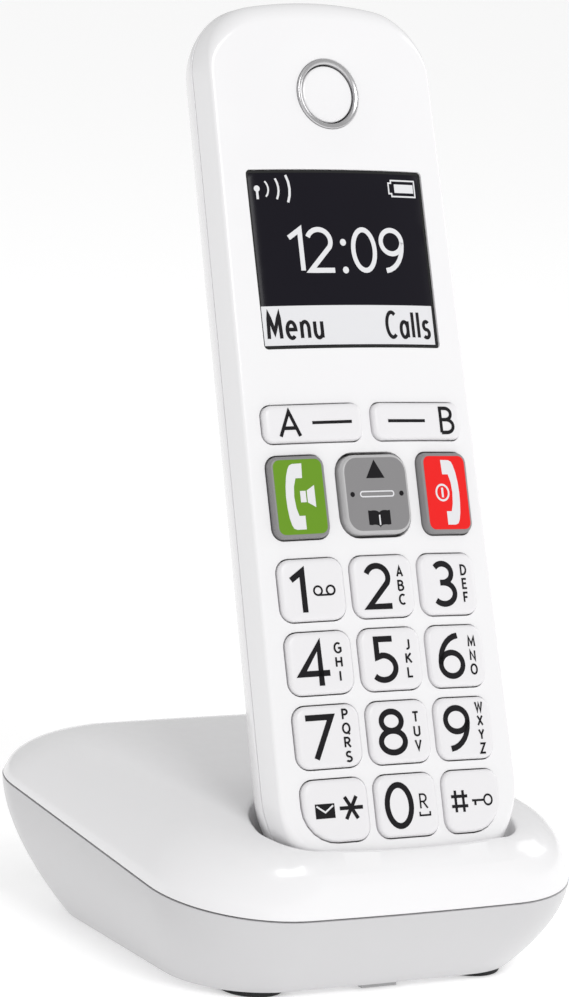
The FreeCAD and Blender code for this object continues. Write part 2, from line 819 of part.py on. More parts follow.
board_back = board_front + dim("board_thick")
shield = block((-15, 15), (board_back, board_back + 2.6), (108, 132))
shield = shield.cut(block((-14.7, 14.7), (board_back - 1, board_back + 2.3), (108.3, 131.7)))
add_shape("radio_shield", shield, HANDSET)
antenna = joined([
    block((-11, 11), (board_back, board_back + 3.5), (158.0, 158.6)),
    block((-11, 11), (board_back + 2.9, board_back + 3.5), (154.5, 158.6)),
])
add_shape("antenna_strip", antenna, HANDSET)

for side, name in ((-1, "battery_left"), (1, "battery_right")):
    x = side * dim("battery_offset")
    can = Part.makeCylinder(dim("battery_radius"), dim("battery_length") - 0.8)
    tip_radius = 1.9
    tip = Part.makeCylinder(tip_radius, 0.8, Vector(0, 0, dim("battery_length") - 0.8))
    cell = joined([can, tip])
    place = on_face(x, dim("battery_depth"), dim("battery_bottom"))
    if side > 0:
        flip = Placement(Vector(0, 0, dim("battery_length")), Rotation(ALONG_X, 180))
        place = place * flip
    add_shape(name, cell, place)

battery_low = dim("battery_bottom")
battery_high = battery_low + dim("battery_length")
tray_wall = 1.2
bay_half = 2 * dim("battery_radius") + tray_wall + 1.0
bay_low, bay_high = battery_low - 4.5, battery_high + 4.5
bay_front = dim("battery_depth") - dim("battery_radius") - 0.4 - tray_wall
bay_back = depth - wall - 0.3
tray = block((-bay_half, bay_half), (bay_front, bay_back), (bay_low, bay_high))
tray = tray.cut(
    block(
        (-bay_half + tray_wall, bay_half - tray_wall),
        (bay_front + tray_wall, bay_back + 1),
        (bay_low + tray_wall, bay_high - tray_wall),
    )
)
add_shape("battery_tray", tray, HANDSET)


def contact_plates(z_low, thickness):
    """The two plates that touch the cells at one end of the bay."""
    plates = []
    for side in (-1, 1):
        x = side * dim("battery_offset")
        depths = bay_front + tray_wall + 0.3, bay_back - 0.6
        plates.append(block((x - 4.5, x + 4.5), depths, (z_low, z_low + thickness)))
    return Part.makeCompound(plates)


add_shape("battery_contacts_lower", contact_plates(bay_low + tray_wall, 0.5), HANDSET)
add_shape("battery_contacts_upper", contact_plates(bay_high - tray_wall - 0.5, 0.5), HANDSET)

pads = []
for side in (-1, 1):
    middle = side * contact_x
    pads.append(block((middle - 2.4, middle + 2.4), (12.1, 15.9), (dim("charge_pad_low"), 3.2)))
add_shape("charge_pads", Part.makeCompound(pads), HANDSET)

screws = []
for x, z in SCREW_PLACES:
    shank = rod(x, z, 7.5, SCREW_SEAT + 0.1, dim("screw_radius"))
    head = rod(x, z, SCREW_SEAT, SCREW_SEAT + dim("screw_head_thick"), dim("screw_head_radius"))
    slot_depth = 0.7
    slot_block = block(
        (x - 1.6, x + 1.6),
        (SCREW_SEAT + dim("screw_head_thick") - slot_depth, SCREW_SEAT + dim("screw_head_thick") + 1),
        (z - 0.3, z + 0.3),
    )
    screws.append(joined([shank, head]).cut(slot_block))
add_shape("handset_screws", Part.makeCompound(screws), HANDSET)

# ---------------------------------------------------------------- base covers

BASE_SCREWS = [(-31.0, -16.0), (31.0, -16.0), (-30.0, 20.0), (30.0, 20.0)]
BASE_BOSS_MEET = 10.0
BASE_SCREW_SEAT = 6.0
FOOT_PLACES = [(-25.0, -31.0), (25.0, -31.0), (-27.0, 22.0), (27.0, 22.0)]
seam_trim = 0.15

crown_outer = crown_volume(0)
crown_inner = crown_volume(dim("base_wall"))
seam_half_depth = dim("base_depth") / 2 + 5
seam_low = dim("seam_height") - dim("seam_slope") * seam_half_depth
seam_high = dim("seam_height") + dim("seam_slope") * seam_half_depth


def seam_wedge(offset, above):
    """Everything above or below the sloping seam plane, moved up by an offset."""
    far = 60.0 if above else -60.0
    corners = [
        Vector(-80, -seam_half_depth, seam_low + offset),
        Vector(-80, seam_half_depth, seam_high + offset),
        Vector(-80, seam_half_depth, seam_high + offset + far),
        Vector(-80, -seam_half_depth, seam_low + offset + far),
    ]
    return Part.Face(Part.makePolygon(corners + corners[:1])).extrude(Vector(160, 0, 0))


pocket = pocket_volume(0)
cup = pocket_volume(dim("pocket_wall"))
pocket.Placement = HANDSET
cup.Placement = HANDSET
whole_base = crown_outer.fuse(bowl_volume(0)).common(block((-60, 60), (-60, 60), (6.0, 50)))
cup = cup.common(whole_base)
crown_shell = crown_outer.cut(crown_inner).cut(seam_wedge(seam_trim, above=False))
crown_posts = [post(x, y, BASE_BOSS_MEET + 0.1, dim("crown_height"), 3.2) for x, y in BASE_SCREWS]
crown_shape = crown_shell.fuse([cup] + [crown_post.common(whole_base) for crown_post in crown_posts])
crown_cutters = [pocket]
screw_hole = dim("screw_radius") + 0.2
crown_cutters += [post(x, y, BASE_BOSS_MEET - 1, BASE_BOSS_MEET + 8, screw_hole) for x, y in BASE_SCREWS]
for side in (-1, 1):
    hole_foot = Vector(side * contact_x, dim("contact_depth"), -5)
    hole = Part.makeCylinder(dim("contact_radius") + 0.35, 6, hole_foot)
    hole.Placement = HANDSET
    crown_cutters.append(hole)
crown_shape = crown_shape.cut(crown_cutters)
add_shape("base_top_cover", crown_shape, BASE)

bowl_outer = bowl_volume(0)
bowl = bowl_outer.cut(bowl_volume(dim("base_wall"))).cut(seam_wedge(-seam_trim, above=True))
cup_room = pocket_volume(dim("pocket_wall") + 0.3)
cup_room.Placement = HANDSET
niche_x, niche_z, niche_y = (-26.0, 8.0), (4.4, 17.0), 33.0
niche_cup = block((niche_x[0] - 1.5, niche_x[1] + 1.5), (niche_y - 1.5, 60), (2.0, niche_z[1] + 1.5))
bowl_posts = [post(x, y, 2.5, BASE_BOSS_MEET, 4.0) for x, y in BASE_SCREWS]
bowl = bowl.fuse([niche_cup.common(bowl_outer)] + [p.common(bowl_outer) for p in bowl_posts])
bowl_cutters = [block(niche_x, (niche_y, 60), niche_z), cup_room]
for x, y in BASE_SCREWS:
    bowl_cutters.append(post(x, y, 0, BASE_SCREW_SEAT, dim("screw_head_radius") + 0.4))
    bowl_cutters.append(post(x, y, 0, BASE_BOSS_MEET + 1, screw_hole))
LINE_X, POWER_X = -18.5, 0.5
socket_low = 5.6
sockets = (("line_socket", LINE_X, 12.6, 9.9, 9.6, 6.4), ("power_socket", POWER_X, 10.4, 9.9, 7.4, 6.0))
for _, x, width, height, _, _ in sockets:
    bowl_cutters.append(
        block(
            (x - width / 2 - 0.1, x + width / 2 + 0.1),
            (niche_y - 3, niche_y + 0.5),
            (socket_low + 0.35, socket_low + 0.55 + height),
        )
    )
page_half = dim("page_key_width") / 2
PAGE_Y = (-38.0, -34.0)
bowl_cutters.append(
    block((-page_half - 0.3, page_half + 0.3), (PAGE_Y[0] - 0.3, PAGE_Y[1] + 0.3), (0, 5))
)
bowl_cutters += [
    post(x, y, 0, dim("foot_thick") + dim("foot_sink"), dim("foot_radius") + 0.1) for x, y in FOOT_PLACES
]
for row in range(2):
    for column in range(9):
        slot_x = -16 + 4 * column
        bowl_cutters.append(block((slot_x, slot_x + 1.6), (-16 + 14 * row, -6 + 14 * row), (0, 4)))
add_shape("base_bottom_cover", bowl.cut(bowl_cutters), BASE)

feet = [post(x, y, 0, dim("foot_thick") + dim("foot_sink"), dim("foot_radius")) for x, y in FOOT_PLACES]
feet = [foot.makeFillet(0.5, [e for e in foot.Edges if e.BoundBox.ZMax < 0.1]) for foot in feet]
add_shape("rubber_feet", Part.makeCompound(feet), BASE)

# ---------------------------------------------------------------- inside the base

board_low = dim("base_board_height")
plate(
    "base_circuit_board",
    "50",
    "44",
    "3",
    "Dims.base_board_thick",
    Placement(Vector(0, -5, board_low), Rotation()),
    role="XY_Plane",
)

for name, x, width, height, mouth_w, mouth_h in sockets:
    housing = block(
        (x - width / 2, x + width / 2),
        (niche_y - 15, niche_y),
        (socket_low + 0.45, socket_low + 0.45 + height),
    )
    mouth = block(
        (x - mouth_w / 2, x + mouth_w / 2),
        (niche_y - 13, niche_y + 1),
        (socket_low + 2.0, socket_low + 2.0 + mouth_h),
    )
    add_shape(name, housing.cut(mouth), BASE)

carrier_low = -dim("pocket_floor_gap") - dim("pocket_wall") - 5.2
carrier = block(
    (-contact_x - 4, contact_x + 4),
    (dim("contact_depth") - 3.5, dim("contact_depth") + 3.5),
    (carrier_low, carrier_low + 3.0),
)
carrier_holes = []
for side in (-1, 1):
    foot = Vector(side * contact_x, dim("contact_depth"), carrier_low + 0.8)
    carrier_holes.append(Part.makeCylinder(dim("contact_radius") + 0.3, 10, foot))
add_shape("contact_carrier", carrier.cut(carrier_holes), HANDSET)

contact_top = dim("charge_pad_low") - dim("contact_gap")
for side, name in ((-1, "charge_contact_left"), (1, "charge_contact_right")):
    body = document.addObject("PartDesign::Body", name)
    sketch = circle_sketch(body, "Outline", "XY_Plane", ["Dims.contact_radius"])
    feature = pad(body, sketch, "Dims.contact_length - Dims.contact_travel - 0.7", inward=False)
    round_edges(body, feature, 2, True, "0.6")
    height = contact_top - (dim("contact_length") - dim("contact_travel") - 0.7)
    body.Placement = HANDSET * Placement(Vector(side * contact_x, dim("contact_depth"), height), Rotation())
    keep(body, name)

page_low = 0.25
page_shape = joined([
    block((-page_half, page_half), PAGE_Y, (page_low, 3.6)),
    block((-page_half - 1.2, page_half + 1.2), (PAGE_Y[0] + 0.6, PAGE_Y[1] + 1.2), (3.6, 4.6)),
])
add_shape("page_key", page_shape, BASE)
page_switch = joined([
    block((-3, 3), (-38.4, -30), (6.6, 7.4)),
    block((-1.5, 1.5), (-37.5, -34.5), (5.8, 6.6)),
])
add_shape("page_switch", page_switch, BASE)

base_screws = []
for x, y in BASE_SCREWS:
    head = post(x, y, BASE_SCREW_SEAT - dim("screw_head_thick"), BASE_SCREW_SEAT, dim("screw_head_radius"))
    shank = post(x, y, BASE_SCREW_SEAT - 0.1, BASE_BOSS_MEET + 6, dim("screw_radius"))
    base_screws.append(joined([head, shank]))
add_shape("base_screws", Part.makeCompound(base_screws), BASE)

# ---------------------------------------------------------------- checks and files

document.recompute()
for item in document.Objects:
    if "Invalid" in item.State or "Error" in item.State:
        raise RuntimeError(f"{item.Label} did not compute: {item.State}")
for piece in sub_parts:
    if piece.Shape.isNull() or not piece.Shape.isValid() or not piece.Shape.Solids:
        raise RuntimeError(f"{piece.Label} has no valid solid")

os.makedirs("parts", exist_ok=True)
for piece in sub_parts:
    piece.Shape.exportStep(f"parts/{piece.Label}.step")
    box = piece.Shape.BoundBox
    print(f"{piece.Label}: {len(piece.Shape.Solids)} solid(s), {piece.Shape.Volume:.0f} mm3, "
          f"z {box.ZMin:.1f} to {box.ZMax:.1f}")
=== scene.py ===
import functools
import json
import math

import bpy
import numpy as np
from mathutils import Matrix, Vector
from mathutils.geometry import delaunay_2d_cdt, tessellate_polygon


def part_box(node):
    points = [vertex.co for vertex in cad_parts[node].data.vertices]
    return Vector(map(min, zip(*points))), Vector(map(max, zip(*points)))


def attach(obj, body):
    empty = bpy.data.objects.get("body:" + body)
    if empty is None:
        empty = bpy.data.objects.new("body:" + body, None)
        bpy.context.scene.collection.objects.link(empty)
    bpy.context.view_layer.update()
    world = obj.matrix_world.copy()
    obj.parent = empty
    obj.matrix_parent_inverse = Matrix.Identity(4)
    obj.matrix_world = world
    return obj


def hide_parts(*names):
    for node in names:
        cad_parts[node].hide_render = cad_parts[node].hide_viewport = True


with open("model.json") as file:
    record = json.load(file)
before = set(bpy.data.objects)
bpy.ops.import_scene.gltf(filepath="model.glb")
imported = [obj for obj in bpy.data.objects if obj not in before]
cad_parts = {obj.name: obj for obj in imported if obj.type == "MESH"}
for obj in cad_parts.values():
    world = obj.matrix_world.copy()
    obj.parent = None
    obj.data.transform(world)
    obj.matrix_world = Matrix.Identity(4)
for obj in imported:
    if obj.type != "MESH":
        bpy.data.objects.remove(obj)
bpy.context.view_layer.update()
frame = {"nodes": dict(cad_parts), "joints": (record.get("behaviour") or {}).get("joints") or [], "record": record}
scene = bpy.context.scene

# Shapes are worked out in millimetres, in the handset's own frame (x across it, y from its face
# to its back, z from its bottom to its top) or in the base's frame, and placed in metres.
MM = 0.001

# The handset's shells
FACE_BOW = 148.0            # radius of the bowed face
SEAM = 8.0                  # depth of the seam between the two shells
FRONT_END = SEAM - 0.1
REAR_START = SEAM + 0.1
BACK = 24.2                 # depth of the back
DRAFT = 0.12                # how the band beside the face leans in
REAR_ROUND = 13.4           # how far the back draws in from the sides
REAR_POWER = 2 / 1.5
WALL = 1.8
HANDSET_SIZES = dict(half_low=28.0, half_high=25.7, low=0.0, high=176.0,
                     corner_low=20.0, corner_high=14.0, bow_low=90.0, bow_high=95.0)
SIDE_FILLET = 0.7           # the face's edge is crisp at the sides and soft at both ends
END_FILLET = 4.0
FILLET_STEPS = 8

# Keys
ROW_PITCH = 14.12
COLUMN_PITCH = 15.5
PAD_SHIFT = -0.45           # the dialling pad sits a little left of the middle
FIRST_ROW = 59.0
KEY_SIZE = (13.7, 12.0)
KEY_CORNER = 2.6
CHIN_CORNER = 7.0
KEY_PROUD = 0.9
KEY_THICK = 3.5
KEY_GAP = 0.25
KEY_LIP = 0.12
KEY_WELL = 2.6
SOFT_KEY = (21.3, 7.3)
SOFT_CORNER = 2.0
SOFT_THICK = 3.2
SOFT_PLACE = (11.95, 91.2)
CALL_KEY = (11.9, 16.1)
CALL_CORNER = 2.2
CALL_PLACE = (16.7, 76.9)
CALL_PROUD = 1.2
CALL_BORDER = 0.8
TILE_PROUD = 0.05
NAVIGATION_KEY = (15.3, 15.7)
NAVIGATION_CORNER = 3.6
NAVIGATION_GAP = 0.55
NAVIGATION_THICK = 3.0
NAVIGATION_PROUD = 0.03
NAVIGATION_PIVOT = Vector((0.0, 2.3, 76.9))

# Display, earpiece and microphone
DISPLAY = (40.4, 35.4)
DISPLAY_CORNER = 0.9
DISPLAY_HEIGHT = 123.6
DISPLAY_RECESS = 0.5
GLASS_THICK = 1.1
EAR_HEIGHT = 156.5
EAR_RADIUS = 7.0
EAR_WIDTH = 1.05
DISH_RADIUS = 13.0
DISH_DEPTH = 0.7
MICROPHONE_HEIGHT = 7.2
MICROPHONE_RADIUS = 0.7

# The handset's back
COVER = (28.0, 66.0)
COVER_CORNER = 5.0
COVER_GAP = 0.25
COVER_THICK = 1.6
COVER_MIDDLE = np.array([0.0, 71.0])
NOTCH_MIDDLE = np.array([0.0, 97.5])
NOTCH_HALF = np.array([7.5, 3.4])
NOTCH_DEPTH = 0.55
SCREWS = [(-18.0, 100.6), (18.0, 100.6), (-15.0, 166.5), (15.0, 166.5)]
SCREW_RADIUS = 2.6
SCREW_SEAT = 15.6
SOUND_SLOT = (14.0, 1.2)
SOUND_SLOTS = 5
SOUND_PITCH = 3.2
SOUND_HEIGHT = 136.6

# Charging strips under the handset and the contacts that meet them
STRIP = (4.8, 3.8)
STRIP_CORNER = 0.9
STRIP_DEPTH = 14.0
STRIP_PROUD = 0.15
CONTACT = (2.4, 1.8)
CONTACT_CORNER = 0.75
CONTACT_FOOT = -4.0
CONTACT_CLEARANCE = 0.25

# The base's top cover and its pocket
BASE_DEPTH = 98.4
BASE_HALF = (46.4, 46.0)
BASE_CORNERS = (23.3, 17.3)
BASE_BOW = 700.0
SEAM_HEIGHT = 22.2
SEAM_SLOPE = 0.08
SEAM_TRIM = 0.15
CROWN_HEIGHT = 34.8
CROWN_SLOPE = 0.02
CROWN_ROUND = 18.0
CROWN_FRONT_ROUND = 5.0
ROOF_BOW = 384.0
ROOF_TOP = 35.4
ROOF_MIDDLE = 15.0
POCKET_GAP = 1.8
POCKET_SHIFT = 0.6          # the handset stands a little left in its pocket
POCKET_FACE_GAP = 0.5
POCKET_CORNER = 5.0
POCKET_FLOOR = -1.3
POCKET_POINTS = 120
RIM_ROUND = 0.9
SECTION_HEIGHTS = np.arange(-1.5, 36.0, 0.5)

# The photograph's viewing angle
AZIMUTH, ELEVATION, ROLL = (math.radians(angle) for angle in (-32.212, 10.914, 5.136))
VIEW_TARGET = Vector((-0.02644, -0.02991, 0.09594))
VIEW_DISTANCE = 0.8332
VIEW_LENS = 159.9
SENSOR_WIDTH = 36.0


# ---------------------------------------------------------------- frames

joints = {joint["name"]: joint for joint in frame["joints"]}
along = Vector(joints["handset_lift"]["axis"]).normalized()
across = Vector((1.0, 0.0, 0.0))
lean = Matrix((across, along.cross(across), along)).transposed()
handset_origin = Vector(joints["navigation_side_tilt"]["pos_m"]) - lean @ (NAVIGATION_PIVOT * MM)
HANDSET = Matrix.Translation(handset_origin) @ lean.to_4x4() @ Matrix.Scale(MM, 4)
BASE = Matrix.Scale(MM, 4)


def face_depth(x):
    """How far the bowed face falls back at a place across it."""
    return FACE_BOW - np.sqrt(FACE_BOW ** 2 - np.square(x))


def key_frame(x, z, proud=0.0):
    """The frame of a piece that sits square to the bowed face, its front proud of it."""
    turn = math.asin(x / FACE_BOW)
    outward = Vector((-math.sin(turn), math.cos(turn), 0))
    place = Vector((x, float(face_depth(x)), z)) - outward * proud
    return Matrix.Translation(place) @ Matrix.Rotation(turn, 4, "Z")


# ---------------------------------------------------------------- materials

def node_material(name, colour, roughness, shade=0.985, spread=0.06, grain=2600.0,
                  grain_height=0.06, **sockets):
    """A moulded material: two close shades, an uneven gloss and a fine grain in the surface."""
    material = bpy.data.materials.new(name)
    material.use_nodes = True
    nodes, links = material.node_tree.nodes, material.node_tree.links
    shader = nodes["Principled BSDF"]
    place = nodes.new("ShaderNodeTexCoord").outputs["Object"]

    def noise(scale, detail):
        texture = nodes.new("ShaderNodeTexNoise")
        texture.inputs["Scale"].default_value = scale
        texture.inputs["Detail"].default_value = detail
        links.new(place, texture.inputs["Vector"])
        return texture.outputs["Fac"]

    tint = nodes.new("ShaderNodeMix")
    tint.data_type = "RGBA"
    tint.inputs["A"].default_value = (*[part * shade for part in colour], 1)
    tint.inputs["B"].default_value = (*colour, 1)
    links.new(noise(45.0, 3.0), tint.inputs["Factor"])
    links.new(tint.outputs["Result"], shader.inputs["Base Color"])
    gloss = nodes.new("ShaderNodeMapRange")
    gloss.inputs["To Min"].default_value = max(roughness - spread, 0.02)
    gloss.inputs["To Max"].default_value = roughness + spread
    links.new(noise(320.0, 4.0), gloss.inputs["Value"])
    links.new(gloss.outputs["Result"], shader.inputs["Roughness"])
    bump = nodes.new("ShaderNodeBump")
    bump.inputs["Strength"].default_value = grain_height
    bump.inputs["Distance"].default_value = 0.00006
    links.new(noise(grain, 2.0), bump.inputs["Height"])
    links.new(bump.outputs["Normal"], shader.inputs["Normal"])
    for socket, value in sockets.items():
        shader.inputs[socket.replace("_", " ")].default_value = value
    return material


# Each finish: its colour, its roughness and what else sets it apart.
FINISHES = {
    "white_gloss": ((0.88, 0.875, 0.885), 0.22,
                    dict(grain_height=0.04, Coat_Weight=0.35, Coat_Roughness=0.06)),
    # white_base is the same white plastic as white_gloss, made darker: painted shade on the base's lower shell,
    # standing for the darker surroundings below it
    "white_base": ((0.61, 0.606, 0.615), 0.34,
                   dict(grain_height=0.02, spread=0.03, Coat_Weight=0.25, Coat_Roughness=0.1)),
    "key_plastic": ((0.82, 0.81, 0.825), 0.34, dict(grain=3600.0, grain_height=0.08)),
    "legend_ink": ((0.009, 0.008, 0.01), 0.5, dict(grain=5200.0, shade=0.8, Specular_IOR_Level=0.15)),
    "grey_key": ((0.245, 0.24, 0.245), 0.36, dict(grain=4200.0, grain_height=0.1, shade=0.93)),
    "grey_bevel": ((0.50, 0.495, 0.50), 0.22, dict(grain=4200.0, shade=0.95)),
    "green_tile": ((0.14, 0.305, 0.012), 0.34, dict(shade=0.95, Specular_IOR_Level=0.25)),
    "red_tile": ((0.84, 0.009, 0.008), 0.34, dict(shade=0.96, Specular_IOR_Level=0.25)),
    "light_print": ((0.76, 0.76, 0.78), 0.4, dict(grain=5200.0)),
    "silicone": ((0.42, 0.42, 0.42), 0.6, dict(grain_height=0.15)),
    "display_glass": ((0.007, 0.006, 0.011), 0.16,
                      dict(shade=0.8, grain_height=0.01, spread=0.04, Specular_IOR_Level=0.15)),
    "display_border": ((0.004, 0.004, 0.004), 0.2, dict(shade=0.8)),
    "display_dark": ((0.012, 0.012, 0.016), 0.3, dict(shade=0.8)),
    "black_plastic": ((0.012, 0.012, 0.012), 0.5, dict(shade=0.8, grain_height=0.2)),
    "ear_metal": ((0.58, 0.575, 0.585), 0.24, dict(shade=0.9, spread=0.08, Metallic=1.0)),
    "circuit_board": ((0.02, 0.16, 0.06), 0.4, dict(shade=0.7)),
    "tinned_steel": ((0.62, 0.61, 0.59), 0.3, dict(shade=0.85, spread=0.1, Metallic=1.0)),
    "battery_wrap": ((0.03, 0.12, 0.38), 0.3, dict(shade=0.85)),
    "screw_steel": ((0.5, 0.5, 0.5), 0.35, dict(shade=0.8, Metallic=1.0)),
    "black_rubber": ((0.010, 0.010, 0.011), 0.75, dict(shade=0.7, grain=1400.0, grain_height=0.35)),
    "socket_plastic": ((0.03, 0.03, 0.032), 0.5, dict(shade=0.8, grain_height=0.2)),
    "contact_metal": ((0.83, 0.61, 0.27), 0.22, dict(shade=0.9, Metallic=1.0)),
    "page_grey": ((0.45, 0.45, 0.455), 0.5, dict(grain_height=0.15)),
}
MATERIALS = {name: node_material(name, colour, roughness, **more)
             for name, (colour, roughness, more) in FINISHES.items()}


# ---------------------------------------------------------------- outlines

def arc(centre, radius, start, end, count):
    """Points and outward normals along an arc, from one angle to another."""
    angles = np.linspace(start, end, count + 1)
    normals = np.column_stack([np.cos(angles), np.sin(angles)])
    return np.hstack([np.array(centre) + radius * normals, normals])


def outline(half_low, half_high, low, high, corner_low, corner_high, bow_low, bow_high,
            steps=(12, 16, 56)):
    """Points and normals round a symmetric outline, anticlockwise from the middle of its low end.

    Two straight sides and two bowed ends meet in four tangent corners. The steps are those along
    half an end, round a corner and up a side.
    """
    tilt = math.atan2(half_low - half_high, high - low)
    normal = (math.cos(tilt), math.sin(tilt))
    offset = half_low * normal[0] + low * normal[1]
    slope = -normal[1] / normal[0]
    bow_steps, corner_steps, side_steps = steps
    halves = []
    for end, bow, corner, sign in ((low, bow_low, corner_low, -1), (high, bow_high, corner_high, 1)):
        # The corner's centre lies on a line beside the straight side and on a circle inside the bow.
        bow_centre = end - sign * bow
        base_u = (offset - corner) / normal[0]
        a = 1 + slope ** 2
        b = 2 * (slope * base_u - bow_centre)
        c = base_u ** 2 + bow_centre ** 2 - (bow - corner) ** 2
        v = (-b + sign * math.sqrt(b * b - 4 * a * c)) / (2 * a)
        u = base_u + slope * v
        meet = math.atan2(v - bow_centre, u)
        end_arc = arc((0, bow_centre), bow, sign * math.pi / 2, meet, bow_steps)
        halves.append(np.vstack([end_arc, arc((u, v), corner, meet, tilt, corner_steps)[1:]]))
    lower, upper = halves
    side = np.linspace(lower[-1, :2], upper[-1, :2], side_steps + 1)[1:-1]
    side = np.hstack([side, np.tile(normal, (len(side), 1))])
    right = np.vstack([lower, side, upper[::-1]])
    left = right[1:-1][::-1] * np.array([-1, 1, -1, 1])
    loop = np.vstack([right, left])
    return loop[:, :2], loop[:, 2:]


def rounded_rectangle(size, corners, steps=6, side_steps=8):
    """Points and normals round a centred rectangle, anticlockwise from its low right corner.

    corners holds one radius, or four: low right, high right, high left and low left.
    """
    corners = np.broadcast_to(corners, 4)
    half_u, half_v = size[0] / 2, size[1] / 2
    rows = []
    for index, (sign_u, sign_v) in enumerate(((1, -1), (1, 1), (-1, 1), (-1, -1))):
        radius = corners[index]
        centre = (sign_u * (half_u - radius), sign_v * (half_v - radius))
        start = (index - 1) * math.pi / 2
        rows.append(arc(centre, radius, start, start + math.pi / 2, steps))
    loop = []
    for index, row in enumerate(rows):
        following = rows[(index + 1) % 4][0]
        loop += [row, np.linspace(row[-1], following, side_steps + 1)[1:-1]]
    loop = np.vstack(loop)
    return loop[:, :2], loop[:, 2:]


def circle(radius, count=48):
    """Points and normals round a circle."""
    loop = arc((0, 0), radius, 0, 2 * math.pi, count)[:-1]
    return loop[:, :2], loop[:, 2:]


def quarter_round(radius, steps=4):
    """A rounded rim: pairs of a distance outside its wall and a depth."""
    angles = np.linspace(0, math.pi / 2, steps + 1)
    return [(radius * (1 - math.sin(angle)), radius * (1 - math.cos(angle))) for angle in angles]


def inside(points, ring):
    """Which of these flat points lie inside a closed ring."""
    found = np.zeros(len(points), bool)
    for (u0, v0), (u1, v1) in zip(ring, np.roll(ring, -1, axis=0)):
        if v0 != v1:
            crosses = (v0 > points[:, 1]) != (v1 > points[:, 1])
            found ^= crosses & (points[:, 0] < (u1 - u0) * (points[:, 1] - v0) / (v1 - v0) + u0)
    return found


def spacing(points, ring):
    """How far each flat point lies from the nearest point of a ring."""
    return np.sqrt(((points[:, None, :] - ring[None, :, :]) ** 2).sum(2).min(1))


def grid_between(outer, holes, step):
    """Grid points inside the outer ring and outside the holes, clear of them all."""
    clear = 0.7 * min(step)
    low, high = outer.min(0), outer.max(0)
    us = np.arange(low[0] + step[0] / 2, high[0], step[0])
    vs = np.arange(low[1] + step[1] / 2, high[1], step[1])
    points = np.array([(u, v) for v in vs for u in us])
    keep = inside(points, outer) & (spacing(points, outer) > clear)
    for hole in holes:
        keep &= ~inside(points, hole) & (spacing(points, hole) > clear * 0.6)
    return points[keep]


def soften(value):
    """A smooth step from 0 to 1."""
    value = min(max(value, 0.0), 1.0)
    return value * value * (3 - 2 * value)


def halve_to(low, high, beyond, rounds=34):
    """Closes in on where a test turns true, for each number of two rows at once."""
    for _ in range(rounds):
        middle = (low + high) / 2
        passed = beyond(middle)
        low, high = np.where(passed, low, middle), np.where(passed, middle, high)
    return (low + high) / 2


# ---------------------------------------------------------------- building pieces

class Piece:
    """The points and faces of one piece, gathered before they become a mesh."""

    def __init__(self):
        self.points = []
        self.faces = []

    def add(self, points):
        """Takes points in; gives back their numbers."""
        first = len(self.points)
        self.points += [tuple(float(c) for c in point) for point in points]
        return list(range(first, len(self.points)))

    def band(self, low, high):
        """Faces between two closed rings of as many points."""
        for index in range(len(low)):
            following = (index + 1) % len(low)
            self.faces.append((low[index], low[following], high[following], high[index]))

    def rings(self, rings):
        """Rings joined one to the next; gives back their point numbers."""
        added = [self.add(ring) for ring in rings]
        for low, high in zip(added, added[1:]):
            self.band(low, high)
        return added

    def cap(self, ring, middle):
        """Closes a ring round one middle point."""
        centre = self.add([middle])[0]
        for index, point in enumerate(ring):
            self.faces.append((point, ring[(index + 1) % len(ring)], centre))

    def flat(self, ring, axes):
        """The flat places of a ring, along two of its axes."""
        return np.array([self.points[index] for index in ring])[:, axes]

    def fill(self, outer, holes, extra, axes, lift):
        """Triangles between an outer ring and its holes, by way of extra flat points."""
        rings = [outer] + holes
        known = [index for ring in rings for index in ring]
        owner = [number for number, ring in enumerate(rings) for _ in ring]
        plane = [Vector(point) for point in (*self.flat(known, axes), *extra)]
        edges = []
        first = 0
        for ring in rings:
            count = len(ring)
            edges += [(first + index, first + (index + 1) % count) for index in range(count)]
            first += count
        numbers = known + self.add(lift(extra))
        owner += [-1] * len(extra)
        _, _, triangles, origins, _, _ = delaunay_2d_cdt(plane, edges, [], 1, 1e-7)
        for triangle in triangles:
            corners = [origins[corner][0] for corner in triangle]
            owners = {owner[corner] for corner in corners}
            within_hole = len(owners) == 1 and min(owners) > 0
            if not within_hole:
                self.faces.append(tuple(numbers[corner] for corner in corners))

    def build(self, name, place, material, body, slot, nodes=(), smooth_angle=40.0):
        """Makes the mesh, places it, and ties it to its body and CAD nodes; the slot is not used."""
        mesh = bpy.data.meshes.new(name)
        mesh.from_pydata([place @ Vector(point) for point in self.points], [], self.faces)
        mesh.validate()
        mesh.shade_smooth()
        mesh.set_sharp_from_angle(angle=math.radians(smooth_angle))
        mesh.materials.append(MATERIALS[material])
        piece = bpy.data.objects.new(name, mesh)
        scene.collection.objects.link(piece)
        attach(piece, body)
        if nodes:
            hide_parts(*nodes)


def build_white(piece, name, place, body, node):
    """Makes a shell of glossy white plastic that stands for its CAD node."""
    piece.build(name, place, "white_gloss", body, "white_gloss", [node])


# ---------------------------------------------------------------- front shell

OUTLINE, NORMALS = outline(**HANDSET_SIZES)
ACROSS_FACE = [0, 2]        # the flat axes of the handset's face and back
FROM_ABOVE = [0, 1]


def shell_ring(offset, depth):
    """A ring beside the handset's outline; its offset outward and its depth are numbers or rows."""
    count = len(OUTLINE)
    flat = OUTLINE + NORMALS * np.broadcast_to(offset, count)[:, None]
    return np.column_stack([flat[:, 0], np.broadcast_to(depth, count), flat[:, 1]])


def dish(x, z):
    """How deep the shallow dish round the earpiece is at a place on the face."""
    reach = np.hypot(x, z - EAR_HEIGHT) / DISH_RADIUS
    return DISH_DEPTH * np.clip(1 - reach ** 2, 0, 1) ** 1.6


def on_face(points):
    """Flat places on the face, lifted to its bowed surface."""
    x, z = points[:, 0], points[:, 1]
    return np.column_stack([x, face_depth(x) + dish(x, z), z])


